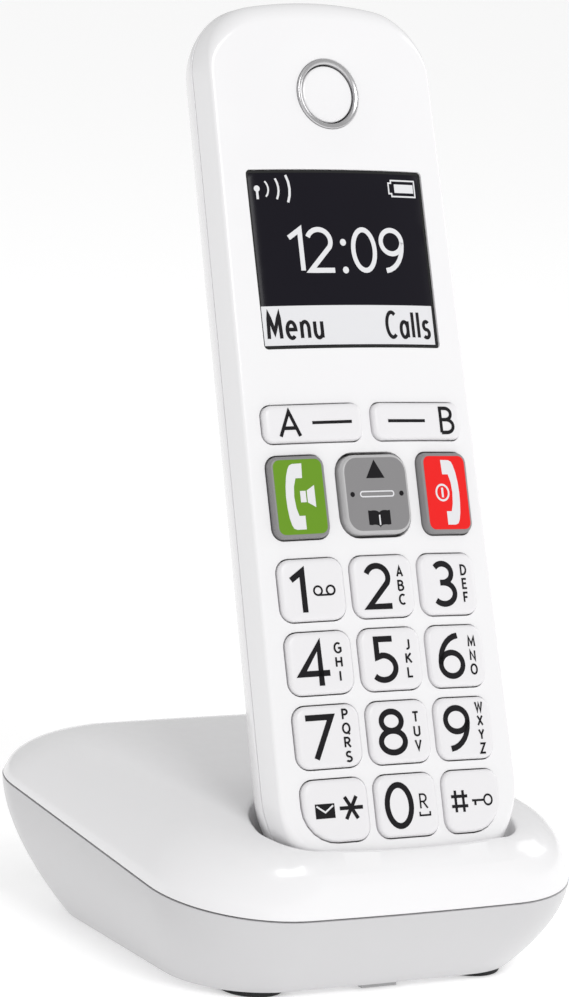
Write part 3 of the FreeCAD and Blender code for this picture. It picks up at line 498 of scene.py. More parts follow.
def all_keys():
    """Name, place, size, corners, gap and height of every key."""
    pad = ("key_1", "key_2", "key_3", "key_4", "key_5", "key_6", "key_7", "key_8", "key_9",
           "key_star", "key_0", "key_hash")
    chin = {"key_star": 3, "key_hash": 0}
    for index, name in enumerate(pad):
        corners = [KEY_CORNER] * 4
        if name in chin:
            corners[chin[name]] = CHIN_CORNER
        x = (index % 3 - 1) * COLUMN_PITCH + PAD_SHIFT
        z = FIRST_ROW - (index // 3) * ROW_PITCH
        yield name, x, z, KEY_SIZE, corners, KEY_GAP, KEY_PROUD
    for side, name in ((-1, "soft_key_left"), (1, "soft_key_right")):
        yield name, side * SOFT_PLACE[0], SOFT_PLACE[1], SOFT_KEY, SOFT_CORNER, KEY_GAP, KEY_PROUD
    for side, name in ((-1, "talk_key"), (1, "end_key")):
        yield name, side * CALL_PLACE[0], CALL_PLACE[1], CALL_KEY, CALL_CORNER, KEY_GAP, CALL_PROUD
    yield ("navigation_key", 0.0, CALL_PLACE[1], NAVIGATION_KEY, NAVIGATION_CORNER,
           NAVIGATION_GAP, CALL_PROUD)


def face_edge(point, normal, fillet):
    """Offsets and depths over the rounded edge between the band and the face, at one place."""
    offset = 0.0
    for _ in range(6):
        offset = -DRAFT * (SEAM - face_depth(point[0] + normal[0] * offset))
    x = point[0] + normal[0] * offset
    crease = np.array([offset, float(face_depth(x))])
    slope = x / math.sqrt(FACE_BOW ** 2 - x * x) * normal[0]
    down = np.array([DRAFT, 1.0]) / math.hypot(DRAFT, 1.0)
    over = np.array([-1.0, -slope]) / math.hypot(1.0, slope)
    half = math.acos(float(np.clip(down @ over, -1, 1))) / 2
    reach = fillet / math.tan(half)
    centre = crease + (down + over) / np.linalg.norm(down + over) * fillet / math.sin(half)
    start, end = crease + down * reach - centre, crease + over * reach - centre
    angle = math.acos(float(np.clip(start @ end / fillet ** 2, -1, 1)))
    shares = np.linspace(0, 1, FILLET_STEPS + 1)[:, None]
    turned = np.sin((1 - shares) * angle) * start + np.sin(shares * angle) * end
    return centre + turned / math.sin(angle)


def face_hole(piece, place, loop, normals, profile):
    """A hole in the bowed face, from pairs of a distance outside its wall and a depth."""
    rings = []
    for outward, sink in profile:
        ring = []
        for u, v in loop + normals * outward:
            x, _, z = place @ Vector((u, float(face_depth(u)), v))
            ring.append((x, float(face_depth(x) + dish(x, z)) + sink, z))
        rings.append(ring)
    return piece.rings(rings)[0]


def front_casing():
    """The front shell: bowed face with its holes, soft edge, band and seam flange."""
    piece = Piece()
    edges = []
    for point, normal in zip(OUTLINE, NORMALS):
        at_end = soften(-normal[1] / 0.7) + soften(normal[1] / 0.9)
        fillet = SIDE_FILLET + (END_FILLET - SIDE_FILLET) * at_end
        edges.append(face_edge(point, normal, fillet))
    edges = np.array(edges)
    flange = [shell_ring(-WALL, 4.2), shell_ring(-WALL, FRONT_END), shell_ring(-0.2, FRONT_END),
              shell_ring(-0.06, FRONT_END - 0.07), shell_ring(-DRAFT * 0.35, FRONT_END - 0.25)]
    rounds = [shell_ring(*edges[:, step].T) for step in range(FILLET_STEPS + 1)]
    support = shell_ring(edges[:, -1, 0] - 0.35, 0.0)
    support[:, 1] = face_depth(support[:, 0])
    rim = piece.rings(flange + rounds + [support])[-1]

    wells = [(key_frame(x, z), size, corners, gap, KEY_WELL)
             for _, x, z, size, corners, gap, _ in all_keys()]
    wells.append((key_frame(0, DISPLAY_HEIGHT), DISPLAY, DISPLAY_CORNER, 0.0, 2.2))
    holes = []
    for place, size, corners, gap, depth in wells:
        loop, normals = rounded_rectangle([length + 2 * gap for length in size],
                                          np.array(corners) + gap)
        profile = [(KEY_LIP + 0.08, 0.0)] + quarter_round(KEY_LIP) + [(0.0, depth)]
        holes.append(face_hole(piece, place, loop, normals, profile))
    display_number = len(holes) - 1
    ear = Matrix.Translation((0, 0, EAR_HEIGHT))
    profile = [(0.35, 0.0), (0.12, 0.0), (0.0, 0.12), (0.0, 2.4)]
    holes.append(face_hole(piece, ear, *circle(EAR_RADIUS + 0.05, 72), profile))
    microphone = Matrix.Translation((0, 0, MICROPHONE_HEIGHT))
    profile = [(0.15, 0.0), (0.0, 0.15), (0.0, 2.0)]
    holes.append(face_hole(piece, microphone, *circle(MICROPHONE_RADIUS, 20), profile))

    outer = piece.flat(rim, ACROSS_FACE)
    hole_loops = [piece.flat(hole, ACROSS_FACE) for hole in holes]
    extra = grid_between(outer, hole_loops, (2.0, 2.6))
    ear_place = np.array([0.0, EAR_HEIGHT])
    extra = extra[np.hypot(*(extra - ear_place).T) > DISH_RADIUS + 0.8]
    for radius in np.arange(EAR_RADIUS + 1.1, DISH_RADIUS + 0.6, 0.8):
        extra = np.vstack([extra, circle(radius, 60)[0] + ear_place])
    extra = extra[spacing(extra, outer) > 0.8]
    extra = extra[spacing(extra, hole_loops[display_number]) > 0.5]
    piece.fill(rim, holes, extra, ACROSS_FACE, on_face)
    build_white(piece, "front_casing", HANDSET, "handset", "front_shell")


# ---------------------------------------------------------------- rear shell and battery cover

FINE_OUTLINE = outline(**HANDSET_SIZES, steps=(60, 60, 400))[0]


def rear_depth(inset):
    """How deep the rear surface lies at a distance in from the outline."""
    cosine = np.clip(1 - np.clip(inset, 0, None) / REAR_ROUND, 0, 1) ** (1 / REAR_POWER)
    return REAR_START + (BACK - REAR_START) * (1 - cosine ** 2) ** (REAR_POWER / 2)


def on_rear(points, sink=0.0):
    """Flat places on the back, lifted to the rear surface or sunk below it."""
    depths = rear_depth(spacing(points, FINE_OUTLINE)) - sink
    return np.column_stack([points[:, 0], depths, points[:, 1]])


def rear_hole(piece, middle, loop, normals, lip, depth):
    """A hole with a rounded rim in the rear surface; gives back its outer ring."""
    profile = [(lip + 0.3, 0.0)] + quarter_round(lip) + [(0.0, depth)]
    return piece.rings([on_rear(loop + normals * outward + middle, sink)
                        for outward, sink in profile])[0]


def rear_casing():
    """The rear shell: sides that roll into a flat back, with its holes and a seam tongue."""
    piece = Piece()
    profile = [(0.75, REAR_START - 1.0), (0.75, REAR_START + 0.02), (0.2, REAR_START + 0.02),
               (0.06, REAR_START + 0.07)]
    for step in range(1, 15):
        inset = REAR_ROUND * (1 - math.cos(math.radians(2.9 * step)) ** REAR_POWER)
        profile.append((inset, rear_depth(inset)))
    rim = piece.rings([shell_ring(-inset, depth) for inset, depth in profile])[-1]
    opening = rounded_rectangle([length + 2 * COVER_GAP for length in COVER],
                                COVER_CORNER + COVER_GAP, side_steps=20)
    holes = [rear_hole(piece, COVER_MIDDLE, *opening, 0.25, 1.7)]
    screw_loop, screw_normals = circle(SCREW_RADIUS, 36)
    for place in SCREWS:
        holes.append(rear_hole(piece, place, screw_loop, screw_normals, 0.25, 1.2))
    slot = rounded_rectangle(SOUND_SLOT, 0.58, steps=4, side_steps=10)
    for index in range(SOUND_SLOTS):
        middle = (0, SOUND_HEIGHT + SOUND_PITCH * index)
        holes.append(rear_hole(piece, middle, *slot, 0.15, 1.4))
    outer = piece.flat(rim, ACROSS_FACE)
    extra = grid_between(outer, [piece.flat(hole, ACROSS_FACE) for hole in holes], (1.5, 2.0))
    piece.fill(rim, holes, extra, ACROSS_FACE, on_rear)
    for x, z in SCREWS:
        wall = on_rear(screw_loop + np.array([x, z]), 1.1)
        seat = [(x + u, SCREW_SEAT, z + v) for u, v in screw_loop]
        piece.cap(piece.rings([wall, seat])[1], (x, SCREW_SEAT, z))
    build_white(piece, "rear_casing", HANDSET, "handset", "rear_shell")


def notched(points):
    """The battery cover's surface, which carries on the curve of the back, with a thumb notch."""
    lifted = on_rear(points)
    reach = (((points - NOTCH_MIDDLE) / NOTCH_HALF) ** 2).sum(1)
    lifted[:, 1] -= NOTCH_DEPTH * np.clip(1 - reach, 0, 1) ** 1.5
    return lifted


def battery_door():
    """The battery cover with its rounded edge."""
    piece = Piece()
    edge = 0.3
    loop, normals = rounded_rectangle(COVER, COVER_CORNER, side_steps=20)
    loop = loop + COVER_MIDDLE
    rings = [on_rear(loop - normals * 0.5, COVER_THICK), on_rear(loop, COVER_THICK)]
    rings += [on_rear(loop - normals * (edge - outward), edge - sink)
              for outward, sink in quarter_round(edge)]
    rings.append(on_rear(loop - normals * 0.8))
    numbers = piece.rings(rings)
    extra = grid_between(piece.flat(numbers[-1], ACROSS_FACE), [], (0.8, 0.8))
    piece.fill(numbers[-1], [], extra, ACROSS_FACE, notched)
    piece.cap(numbers[0][::-1], (0, BACK - COVER_THICK, COVER_MIDDLE[1]))
    build_white(piece, "battery_door", HANDSET, "battery_cover", "battery_cover")


# ---------------------------------------------------------------- charging

def end_height(x, depth):
    """The height of the rear shell's low end at a place across it and a depth."""
    rise = HANDSET_SIZES["bow_low"] - math.sqrt(HANDSET_SIZES["bow_low"] ** 2 - x * x)
    share = (depth - REAR_START) / (BACK - REAR_START)
    cosine = math.sqrt(1 - share ** (2 / REAR_POWER))
    return rise + REAR_ROUND * (1 - cosine ** REAR_POWER)


def on_end(points, rise=-STRIP_PROUD):
    """Places across and into the handset, lifted to its low end or by a rise above it."""
    return [(x, depth, end_height(x, depth) + rise) for x, depth in points]


def charging_strips():
    """The two bright charging pads, which hug the rounded low end of the handset."""
    piece = Piece()
    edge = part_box("charge_pads")[1][0] / MM
    for side in (-1, 1):
        loop, normals = rounded_rectangle(STRIP, STRIP_CORNER)
        middle = np.array([side * (edge - STRIP[0] / 2), STRIP_DEPTH])
        loop = loop + middle
        rings = piece.rings([on_end(loop, 0.5), on_end(loop, -0.06),
                             on_end(loop - normals * 0.04, -0.12), on_end(loop - normals * 0.12)])
        extra = grid_between(piece.flat(rings[-1], FROM_ABOVE), [], (0.5, 0.5))
        piece.fill(rings[-1], [], extra, FROM_ABOVE, on_end)
        piece.cap(rings[0][::-1], on_end([middle], 0.5)[0])
    piece.build("charging_strips", HANDSET, "tinned_steel", "handset", "tinned_steel", ["charge_pads"])


def charging_contacts():
    """The two spring contacts: domed blades that rise from the pocket's floor to the strips."""
    for side in ("left", "right"):
        node = f"charge_contact_{side}"
        low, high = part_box(node)
        x = (low[0] + high[0]) / 2 / MM
        top = end_height(x, STRIP_DEPTH) - STRIP_PROUD - CONTACT_CLEARANCE
        loop, normals = rounded_rectangle(CONTACT, CONTACT_CORNER)
        loop = loop + np.array([x, STRIP_DEPTH])
        dome = [(0.0, top - 0.8), (0.08, top - 0.45), (0.25, top - 0.2), (0.5, top - 0.05)]
        piece = Piece()
        rings = piece.rings([[(u, v, level) for u, v in loop - normals * inset]
                             for inset, level in [(0.0, CONTACT_FOOT)] + dome])
        piece.cap(rings[-1], (x, STRIP_DEPTH, top))
        piece.cap(rings[0][::-1], (x, STRIP_DEPTH, CONTACT_FOOT))
        piece.build(f"contact_blade_{side}", HANDSET, "contact_metal", node, "contact_metal", [node])


# ---------------------------------------------------------------- base cover

def section_distance(x, y, draw_in):
    """Signed distance of flat points from the crown's outline where it has drawn in by a share."""
    half_depth = BASE_DEPTH / 2
    front, back = -half_depth + CROWN_FRONT_ROUND * draw_in, half_depth - CROWN_ROUND * draw_in
    half_front, half_back = (half - CROWN_ROUND * draw_in for half in BASE_HALF)
    tilt = np.arctan2(half_front - half_back, back - front)
    side = (np.abs(x) * np.cos(tilt) + y * np.sin(tilt)
            - half_front * np.cos(tilt) - front * np.sin(tilt))
    end_front = np.hypot(x, y - (front + BASE_BOW)) - BASE_BOW
    end_back = np.hypot(x, y - (back - BASE_BOW)) - BASE_BOW
    found = np.maximum(side, np.maximum(end_front, end_back))
    for end, corner in ((end_front, BASE_CORNERS[0]), (end_back, BASE_CORNERS[1])):
        rounded = np.hypot(side + corner, end + corner) - corner
        found = np.where((side > -corner) & (end > -corner), rounded, found)
    return found


def section_height(y, draw_in):
    """The height of the crown where it has drawn in by a share, eased under the bowed roof."""
    rise = np.sqrt(np.clip(2 * draw_in - draw_in ** 2, 0, 1))
    slope = SEAM_SLOPE + (CROWN_SLOPE - SEAM_SLOPE) * rise
    crown = SEAM_HEIGHT + (CROWN_HEIGHT - SEAM_HEIGHT) * rise + slope * y
    roof = ROOF_TOP - ROOF_BOW + np.sqrt(ROOF_BOW ** 2 - (y - ROOF_MIDDLE) ** 2)
    ease = 1.7 - 1.1 * y / (BASE_DEPTH / 2)
    share = np.clip(0.5 + 0.5 * (roof - crown) / ease, 0, 1)
    return roof * (1 - share) + crown * share - ease * share * (1 - share)


def on_crown(points):
    """Flat places on the base's top, lifted to its surface."""
    x, y = points[:, 0], points[:, 1]
    draw_in = halve_to(np.zeros(len(x)), np.ones(len(x)),
                       lambda share: section_distance(x, y, share) >= 0)
    return np.column_stack([points[:, :2], section_height(y, draw_in)])


def drawn_in(loop, normals, draw_in):
    """The crown's outline drawn in by a share, found along each point's own normal."""
    def passed(inset):
        points = loop - normals * inset[:, None]
        return section_distance(points[:, 0], points[:, 1], draw_in) <= 0

    count = len(loop)
    inset = halve_to(np.full(count, -1.0), np.full(count, CROWN_ROUND + 1.0), passed)
    return loop - normals * inset[:, None]


def grown_outline(gap):
    """The handset's outline with a gap all round it."""
    growth = {"half_low": gap, "half_high": gap, "low": -gap, "high": gap,
              "corner_low": gap * 0.9, "corner_high": gap * 0.9, "bow_low": gap, "bow_high": gap}
    sizes = {name: size + growth[name] for name, size in HANDSET_SIZES.items()}
    return outline(**sizes, steps=(40, 40, 240))[0]


POCKET_OUTLINE = grown_outline(POCKET_GAP)


def pocket_section(height):
    """Half of the pocket's section at a height along the handset, from its front to its back."""
    near = POCKET_OUTLINE[:len(POCKET_OUTLINE) // 2]
    rising = near[:np.argmax(near[:, 1])]
    half = float(np.interp(height, rising[:, 1], rising[:, 0]))
    front_half = half - DRAFT * (SEAM + POCKET_FACE_GAP)
    corner_x = front_half - POCKET_CORNER
    front = float(face_depth(corner_x)) - POCKET_FACE_GAP
    face_x = np.linspace(0, corner_x, 40)
    face = np.column_stack([face_x, face_depth(face_x) - POCKET_FACE_GAP])
    turn = np.linspace(-math.pi / 2 + 0.19, 0, 16)
    corner = np.column_stack([corner_x + POCKET_CORNER * np.cos(turn),
                              front + POCKET_CORNER * (1 + np.sin(turn))])
    corner[:, 0] += DRAFT * (corner[:, 1] - front) * (corner[:, 0] - corner_x) / POCKET_CORNER
    back_x = half * np.cos(np.linspace(0.0, math.pi / 2, 160))
    inset = spacing(np.column_stack([back_x, np.full(len(back_x), height)]), POCKET_OUTLINE)
    inset[0] = 0.0
    cosine = np.clip(1 - inset / REAR_ROUND, 0, 1) ** (1 / REAR_POWER)
    depth = SEAM + (BACK + POCKET_GAP - SEAM) * (1 - cosine ** 2) ** (REAR_POWER / 2)
    back = np.column_stack([back_x, np.maximum.accumulate(depth)])
    walk = np.vstack([face, corner, back[back[:, 1] > corner[-1, 1] + 0.2]])
    lengths = np.concatenate([[0], np.cumsum(np.hypot(*np.diff(walk, axis=0).T))])
    places = np.linspace(0, lengths[-1], POCKET_POINTS // 2 + 1)
    return np.column_stack([np.interp(places, lengths, walk[:, axis]) for axis in (0, 1)])


@functools.cache
def pocket_table(grow):
    """The pocket's whole sections, grown by an offset, at every section height."""
    table = []
    for height in SECTION_HEIGHTS:
        right = pocket_section(height)
        loop = np.vstack([right, right[1:-1][::-1] * np.array([-1, 1])])
        run = np.roll(loop, -1, axis=0) - np.roll(loop, 1, axis=0)
        run /= np.hypot(*run.T)[:, None]
        table.append(loop + np.column_stack([run[:, 1], -run[:, 0]]) * grow)
    return np.array(table)


def pocket_ring(heights, grow):
    """A ring of the pocket's grown wall, each point at its own height, in the base's frame."""
    table = pocket_table(grow)
    loop = [[np.interp(height, SECTION_HEIGHTS, table[:, index, axis]) for axis in (0, 1)]
            for index, height in enumerate(heights)]
    loop = np.array(loop) + np.array([POCKET_SHIFT, 0.0])
    turn = np.array(HANDSET.to_3x3()) / MM
    return np.column_stack([loop, heights]) @ turn.T + np.array(HANDSET.translation) / MM


def rim_heights(grow):
    """How high along the handset each line of the pocket's wall meets the base's top."""
    def above(heights):
        ring = pocket_ring(heights, grow)
        return ring[:, 2] > on_crown(ring)[:, 2]

    return halve_to(np.full(POCKET_POINTS, 2.0), np.full(POCKET_POINTS, 35.0), above, rounds=20)


def base_top_casing():
    """The base's top cover: seam flange, rounded crown, soft pocket rim and the pocket."""
    piece = Piece()
    loop, normals = outline(*BASE_HALF, -BASE_DEPTH / 2, BASE_DEPTH / 2, *BASE_CORNERS,
                            BASE_BOW, BASE_BOW, steps=(22, 20, 26))
    seam = SEAM_HEIGHT + SEAM_SLOPE * loop[:, 1]
    flange = ((2.0, 2.5), (2.0, SEAM_TRIM), (0.35, SEAM_TRIM), (0.12, SEAM_TRIM + 0.06))
    rings = [np.column_stack([loop - normals * inset, seam + rise]) for inset, rise in flange]
    facing = np.array([soften((-fall - 0.2) / 0.5) for fall in normals[:, 1]])
    first_angle, last_angle = 0.12, np.arccos(1 - (0.35 - 0.17 * facing))
    for step in np.linspace(0, 1, 12):
        share = 1 - np.cos(first_angle + (last_angle - first_angle) * step)
        points = drawn_in(loop, normals, share)
        rings.append(np.column_stack([points, section_height(points[:, 1], share)]))
    border = piece.rings(rings)[-1]

    rim = rim_heights(0.0)
    edge = pocket_ring(rim, 0.0)
    outer = pocket_ring(rim_heights(RIM_ROUND), RIM_ROUND)
    inner = pocket_ring(rim - RIM_ROUND, 0.0)
    lips = [pocket_ring(rim_heights(RIM_ROUND + 0.3), RIM_ROUND + 0.3)]
    for share in np.linspace(0, 1, 7):
        lips.append(outer * (1 - share) ** 2 + edge * 2 * share * (1 - share) + inner * share ** 2)
    for share in np.linspace(0.9, 0.0, 10):
        lips.append(pocket_ring(POCKET_FLOOR + (rim - RIM_ROUND - POCKET_FLOOR) * share, 0.0))
    pocket = piece.rings(lips)
    piece.cap(pocket[-1], np.mean(lips[-1], axis=0))
    extra = grid_between(piece.flat(border, FROM_ABOVE), [piece.flat(pocket[0], FROM_ABOVE)], (1.7, 1.7))
    piece.fill(border, [pocket[0]], extra, FROM_ABOVE, on_crown)
    build_white(piece, "base_top_casing", BASE, "base", "base_top_cover")


# ---------------------------------------------------------------- strokes and glyphs

def bend(u, v, reach_u, reach_v, start, end):
    """Points along an elliptical arc, its angles in degrees anticlockwise from the right."""
    count = max(4, round(abs(end - start) / 11))
    angles = np.radians(np.linspace(start, end, count + 1))
    return [(u + reach_u * math.cos(angle), v + reach_v * math.sin(angle)) for angle in angles]


def round_stroke(u, v, radius):
    """A stroke that runs once round a circle."""
    return bend(u, v, radius, radius, 0, 360)


# The strokes of each character, over a height of 1.
GLYPHS = {
    "0": [bend(0.27, 0.5, 0.27, 0.5, 0, 360)],
    "1": [[(0.02, 0.8), (0.3, 1), (0.3, 0)]],
    "2": [bend(0.25, 0.71, 0.27, 0.29, 158, -28) + [(0, 0), (0.56, 0)]],
    "3": [bend(0.22, 0.765, 0.24, 0.235, 142, -90) + [(0.14, 0.53)],
          [(0.14, 0.53), (0.22, 0.53)] + bend(0.22, 0.265, 0.29, 0.265, 88, -140)],
    "4": [[(0.6, 0.3), (0, 0.3), (0.41, 1), (0.41, 0)]],
    "5": [[(0.47, 1), (0.07, 1), (0.07, 0.56)] + bend(0.2, 0.3, 0.3, 0.3, 92, -138)],
    "6": [bend(0.5, 0.32, 0.5, 0.68, 94, 176) + bend(0.27, 0.29, 0.27, 0.29, 178, 538)],
    "7": [[(0, 1), (0.54, 1), (0.16, 0)]],
    "8": [bend(0.27, 0.765, 0.225, 0.235, -90, 270), bend(0.27, 0.265, 0.27, 0.265, 90, 450)],
    "9": [bend(0.04, 0.68, 0.5, 0.68, -86, -4) + bend(0.27, 0.71, 0.27, 0.29, -2, 358)],
    "A": [[(0, 0), (0.27, 1), (0.54, 0)], [(0.09, 0.33), (0.45, 0.33)]],
    "B": [[(0, 0), (0, 1), (0.2, 1)] + bend(0.2, 0.765, 0.23, 0.235, 84, -90) + [(0, 0.53)],
          [(0, 0.53), (0.22, 0.53)] + bend(0.22, 0.265, 0.27, 0.265, 84, -90) + [(0, 0)]],
    "C": [bend(0.32, 0.5, 0.32, 0.5, 52, 308)],
    "D": [[(0, 0), (0, 1), (0.16, 1)] + bend(0.16, 0.5, 0.38, 0.5, 84, -84) + [(0.16, 0), (0, 0)]],
    "E": [[(0.42, 1), (0, 1), (0, 0), (0.44, 0)], [(0, 0.52), (0.38, 0.52)]],
    "F": [[(0.42, 1), (0, 1), (0, 0)], [(0, 0.52), (0.36, 0.52)]],
    "G": [bend(0.32, 0.5, 0.32, 0.5, 52, 306) + [(0.58, 0.16), (0.58, 0.48), (0.34, 0.48)]],
    "H": [[(0, 0), (0, 1)], [(0.5, 0), (0.5, 1)], [(0, 0.52), (0.5, 0.52)]],
    "I": [[(0.27, 0), (0.27, 1)]],
    "J": [[(0.36, 1), (0.36, 0.22)] + bend(0.16, 0.22, 0.2, 0.22, -8, -110)],
    "K": [[(0, 0), (0, 1)], [(0.48, 1), (0.02, 0.44)], [(0.14, 0.58), (0.52, 0)]],
    "L": [[(0, 1), (0, 0), (0.44, 0)]],
    "M": [[(0, 0), (0.05, 1), (0.34, 0.22), (0.63, 1), (0.68, 0)]],
    "N": [[(0, 0), (0, 1), (0.5, 0), (0.5, 1)]],
    "O": [bend(0.32, 0.5, 0.32, 0.5, 0, 360)],
    "P": [[(0, 0), (0, 1), (0.2, 1)] + bend(0.2, 0.74, 0.24, 0.26, 84, -90) + [(0, 0.48)]],
    "Q": [bend(0.32, 0.5, 0.32, 0.5, 0, 360), [(0.38, 0.14), (0.62, -0.12)]],
    "R": [[(0, 0), (0, 1), (0.2, 1)] + bend(0.2, 0.74, 0.24, 0.26, 84, -90) + [(0, 0.48)],
          [(0.2, 0.48), (0.5, 0)]],
    "S": [bend(0.25, 0.75, 0.22, 0.25, 38, 262) + bend(0.22, 0.25, 0.25, 0.25, 82, -142)],
    "T": [[(0, 1), (0.56, 1)], [(0.28, 1), (0.28, 0)]],
    "U": [[(0, 1), (0, 0.28)] + bend(0.26, 0.28, 0.26, 0.28, 188, 352) + [(0.52, 1)]],
    "V": [[(0, 1), (0.27, 0), (0.54, 1)]],
    "W": [[(0, 1), (0.19, 0), (0.37, 0.85), (0.55, 0), (0.74, 1)]],
    "X": [[(0, 0), (0.52, 1)], [(0, 1), (0.52, 0)]],
    "Y": [[(0, 1), (0.26, 0.46), (0.52, 1)], [(0.26, 0.46), (0.26, 0)]],
    "Z": [[(0, 1), (0.5, 1), (0, 0), (0.52, 0)]],
    "a": [bend(0.21, 0.31, 0.21, 0.31, 0, 360), [(0.42, 0.64), (0.42, 0)]],
    "e": [[(0.02, 0.34), (0.46, 0.34)] + bend(0.23, 0.32, 0.23, 0.32, 10, 312)],
    "l": [[(0, 1), (0, 0)]],
    "n": [[(0, 0.64), (0, 0)], bend(0.2, 0.38, 0.2, 0.26, 180, 4) + [(0.4, 0)]],
    "s": [bend(0.18, 0.48, 0.16, 0.16, 38, 262) + bend(0.17, 0.16, 0.18, 0.16, 82, -142)],
    "u": [[(0, 0.64), (0, 0.24)] + bend(0.2, 0.24, 0.2, 0.24, 188, 352) + [(0.4, 0.64)],
          [(0.4, 0.64), (0.4, 0)]],
}


def glyph_reach(letter):
    """How far left and right a character's strokes reach."""
    us = [u for points in GLYPHS[letter] for u, _ in points]
    return min(us), max(us)


def letter_width(letter, height, width, stroke):
    """How wide a character is drawn, less the width of its stroke."""
    left, right = glyph_reach(letter)
    return (right - left) * (height - stroke) * width


def word_length(text, height, width, stroke, gap):
    """How long a word is drawn, its letters a gap apart."""
    letters = sum(letter_width(letter, height, width, stroke) + stroke for letter in text)
    return letters + gap * (len(text) - 1)


def ribbon_sides(stroke, half):
    """The two edges of a flat ribbon that follows a stroke, and whether the stroke is closed."""
    points = [np.array(point, float) for point in stroke]
    points = [p for i, p in enumerate(points) if i == 0 or np.linalg.norm(p - points[i - 1]) > 1e-6]
    closed = np.linalg.norm(points[0] - points[-1]) < 1e-6
    if closed:
        points = points[:-1]
    count = len(points)
    left, right = [], []
    for index in range(count):
        before = points[index] - points[index - 1] if closed or index else None
        after = points[(index + 1) % count] - points[index] if closed or index < count - 1 else None
        before = after if before is None else before
        after = before if after is None else after
        before, after = before / np.linalg.norm(before), after / np.linalg.norm(after)
        side = np.array([-before[1] - after[1], before[0] + after[0]])
        side /= max(np.linalg.norm(side), 1e-9)
        stretch = 1 / max(side @ np.array([-before[1], before[0]]), 0.42)
        left.append(points[index] + side * half * stretch)
        right.append(points[index] - side * half * stretch)
    return left, right, closed


def short_steps(points, length):
    """The same stroke with no step longer than a length."""
    walked = [points[0]]
    for start, end in zip(points, points[1:]):
        count = max(1, math.ceil(math.dist(start, end) / length))
        for index in range(1, count + 1):
            walked.append(tuple(a + (b - a) * index / count for a, b in zip(start, end)))
    return walked


class Print:
    """Flat marks, a hair thick, over a flat surface or one bowed like the face."""

    def __init__(self, rise=0.03, bowed=False):
        self.piece = Piece()
        self.rise = rise
        self.bowed = bowed

    def lay(self, points, rise=0.0):
        """Points on the surface, or a rise above it."""
        return self.piece.add([(u, (face_depth(u) if self.bowed else 0.0) - rise, v)
                               for u, v in points])

    def stroke(self, points, width):
        """A ribbon with square ends, in short steps so that it follows a bowed surface."""
        if self.bowed:
            points = short_steps(points, 1.2)
        left, right, closed = ribbon_sides(points, width / 2)
        tops = self.lay(left, self.rise), self.lay(right, self.rise)
        feet = self.lay(left), self.lay(right)
        self.rise += 0.002
        faces = self.piece.faces
        count = len(left)
        for index in range(count if closed else count - 1):
            following = (index + 1) % count
            faces.append((tops[0][index], tops[0][following], tops[1][following], tops[1][index]))
            faces.append((feet[0][index], feet[1][index], feet[1][following], feet[0][following]))
            for top, foot in zip(tops, feet):
                faces.append((top[index], foot[index], foot[following], top[following]))
        if not closed:
            for index in (0, -1):
                faces.append((tops[0][index], feet[0][index], feet[1][index], tops[1][index]))

    def shape(self, points):
        """A filled outline."""
        top, foot = self.lay(points, self.rise), self.lay(points)
        self.rise += 0.001
        for triangle in tessellate_polygon([[Vector((*point, 0)) for point in points]]):
            self.piece.faces.append(tuple(top[corner] for corner in triangle))
            self.piece.faces.append(tuple(foot[corner] for corner in reversed(triangle)))
        self.piece.band(foot, top)

    def box(self, left, low, right, high):
        """A filled rectangle."""
        self.shape([(left, low), (right, low), (right, high), (left, high)])

    def disc(self, middle, radius):
        """A filled circle."""
        self.shape([tuple(point) for point in circle(radius, 28)[0] + np.array(middle)])

    def glyph(self, letter, middle, height, width, stroke):
        """A character centred on a place, drawn to a height and a width scale."""
        centre = sum(glyph_reach(letter)) / 2
        body = height - stroke
        for points in GLYPHS[letter]:
            self.stroke([(middle[0] + (u - centre) * body * width,
                          middle[1] + (v - 0.5) * body) for u, v in points], stroke)

    def word(self, text, start, middle, height, width, stroke, gap):
        """Letters set from a start towards the right."""
        for letter in text:
            reach = letter_width(letter, height, width, stroke)
            self.glyph(letter, (start + stroke / 2 + reach / 2, middle), height, width, stroke)
            start += reach + stroke + gap

    def build(self, name, place, material, body, slot):
        """Makes the mesh of the marks."""
        self.piece.build(name, place, material, body, slot, smooth_angle=20.0)


# ---------------------------------------------------------------- keys

# Rounded front edges: pairs of a distance inside the outline and a depth.
CUSHION = [(0.0, 0.95), (0.02, 0.72), (0.1, 0.5), (0.26, 0.3), (0.5, 0.165), (0.85, 0.08), (1.35, 0.035)]
CRISP = [(0.0, 1.15), (0.12, 0.62), (0.2, 0.34), (0.34, 0.14), (0.52, 0.045), (0.72, 0.01)]
BEVEL = [(0.0, 1.1), (0.05, 0.7), (0.2, 0.38), (0.36, 0.14), (0.5, 0.035), (0.62, 0.0), (0.85, 0.0)]
NAVIGATION_FACE = [(0.7, 0.1), (0.7, 0.0), (0.75, -0.03), (0.85, -NAVIGATION_PROUD)]
TILE_EDGE = [(0.0, 0.3), (0.0, 0.0), (0.03, -0.03), (0.1, -0.05), (0.2, -TILE_PROUD)]

LETTERS = {"2": "ABC", "3": "DEF", "4": "GHI", "5": "JKL", "6": "MNO", "7": "PQRS", "8": "TUV",
           "9": "WXYZ"}
DIGIT_PLACES = {"1": (-3.3, -0.4), "2": (-1.25, 0.0), "3": (-1.3, 0.0), "4": (-1.35, -0.45),
                "5": (-1.85, -0.1), "6": (-1.65, 0.0), "7": (-1.95, -0.25), "8": (-1.85, 0.0),
                "9": (-2.15, 0.0), "0": (-2.1, 0.0)}
DIGIT_WIDTHS = {"1": 1.1, "2": 1.17, "3": 1.17, "5": 1.17}
DIGIT_HEIGHT = 9.05
DIGIT_STROKE = 1.15
LETTER_PLACE = 3.75
LETTER_PITCH = 2.7

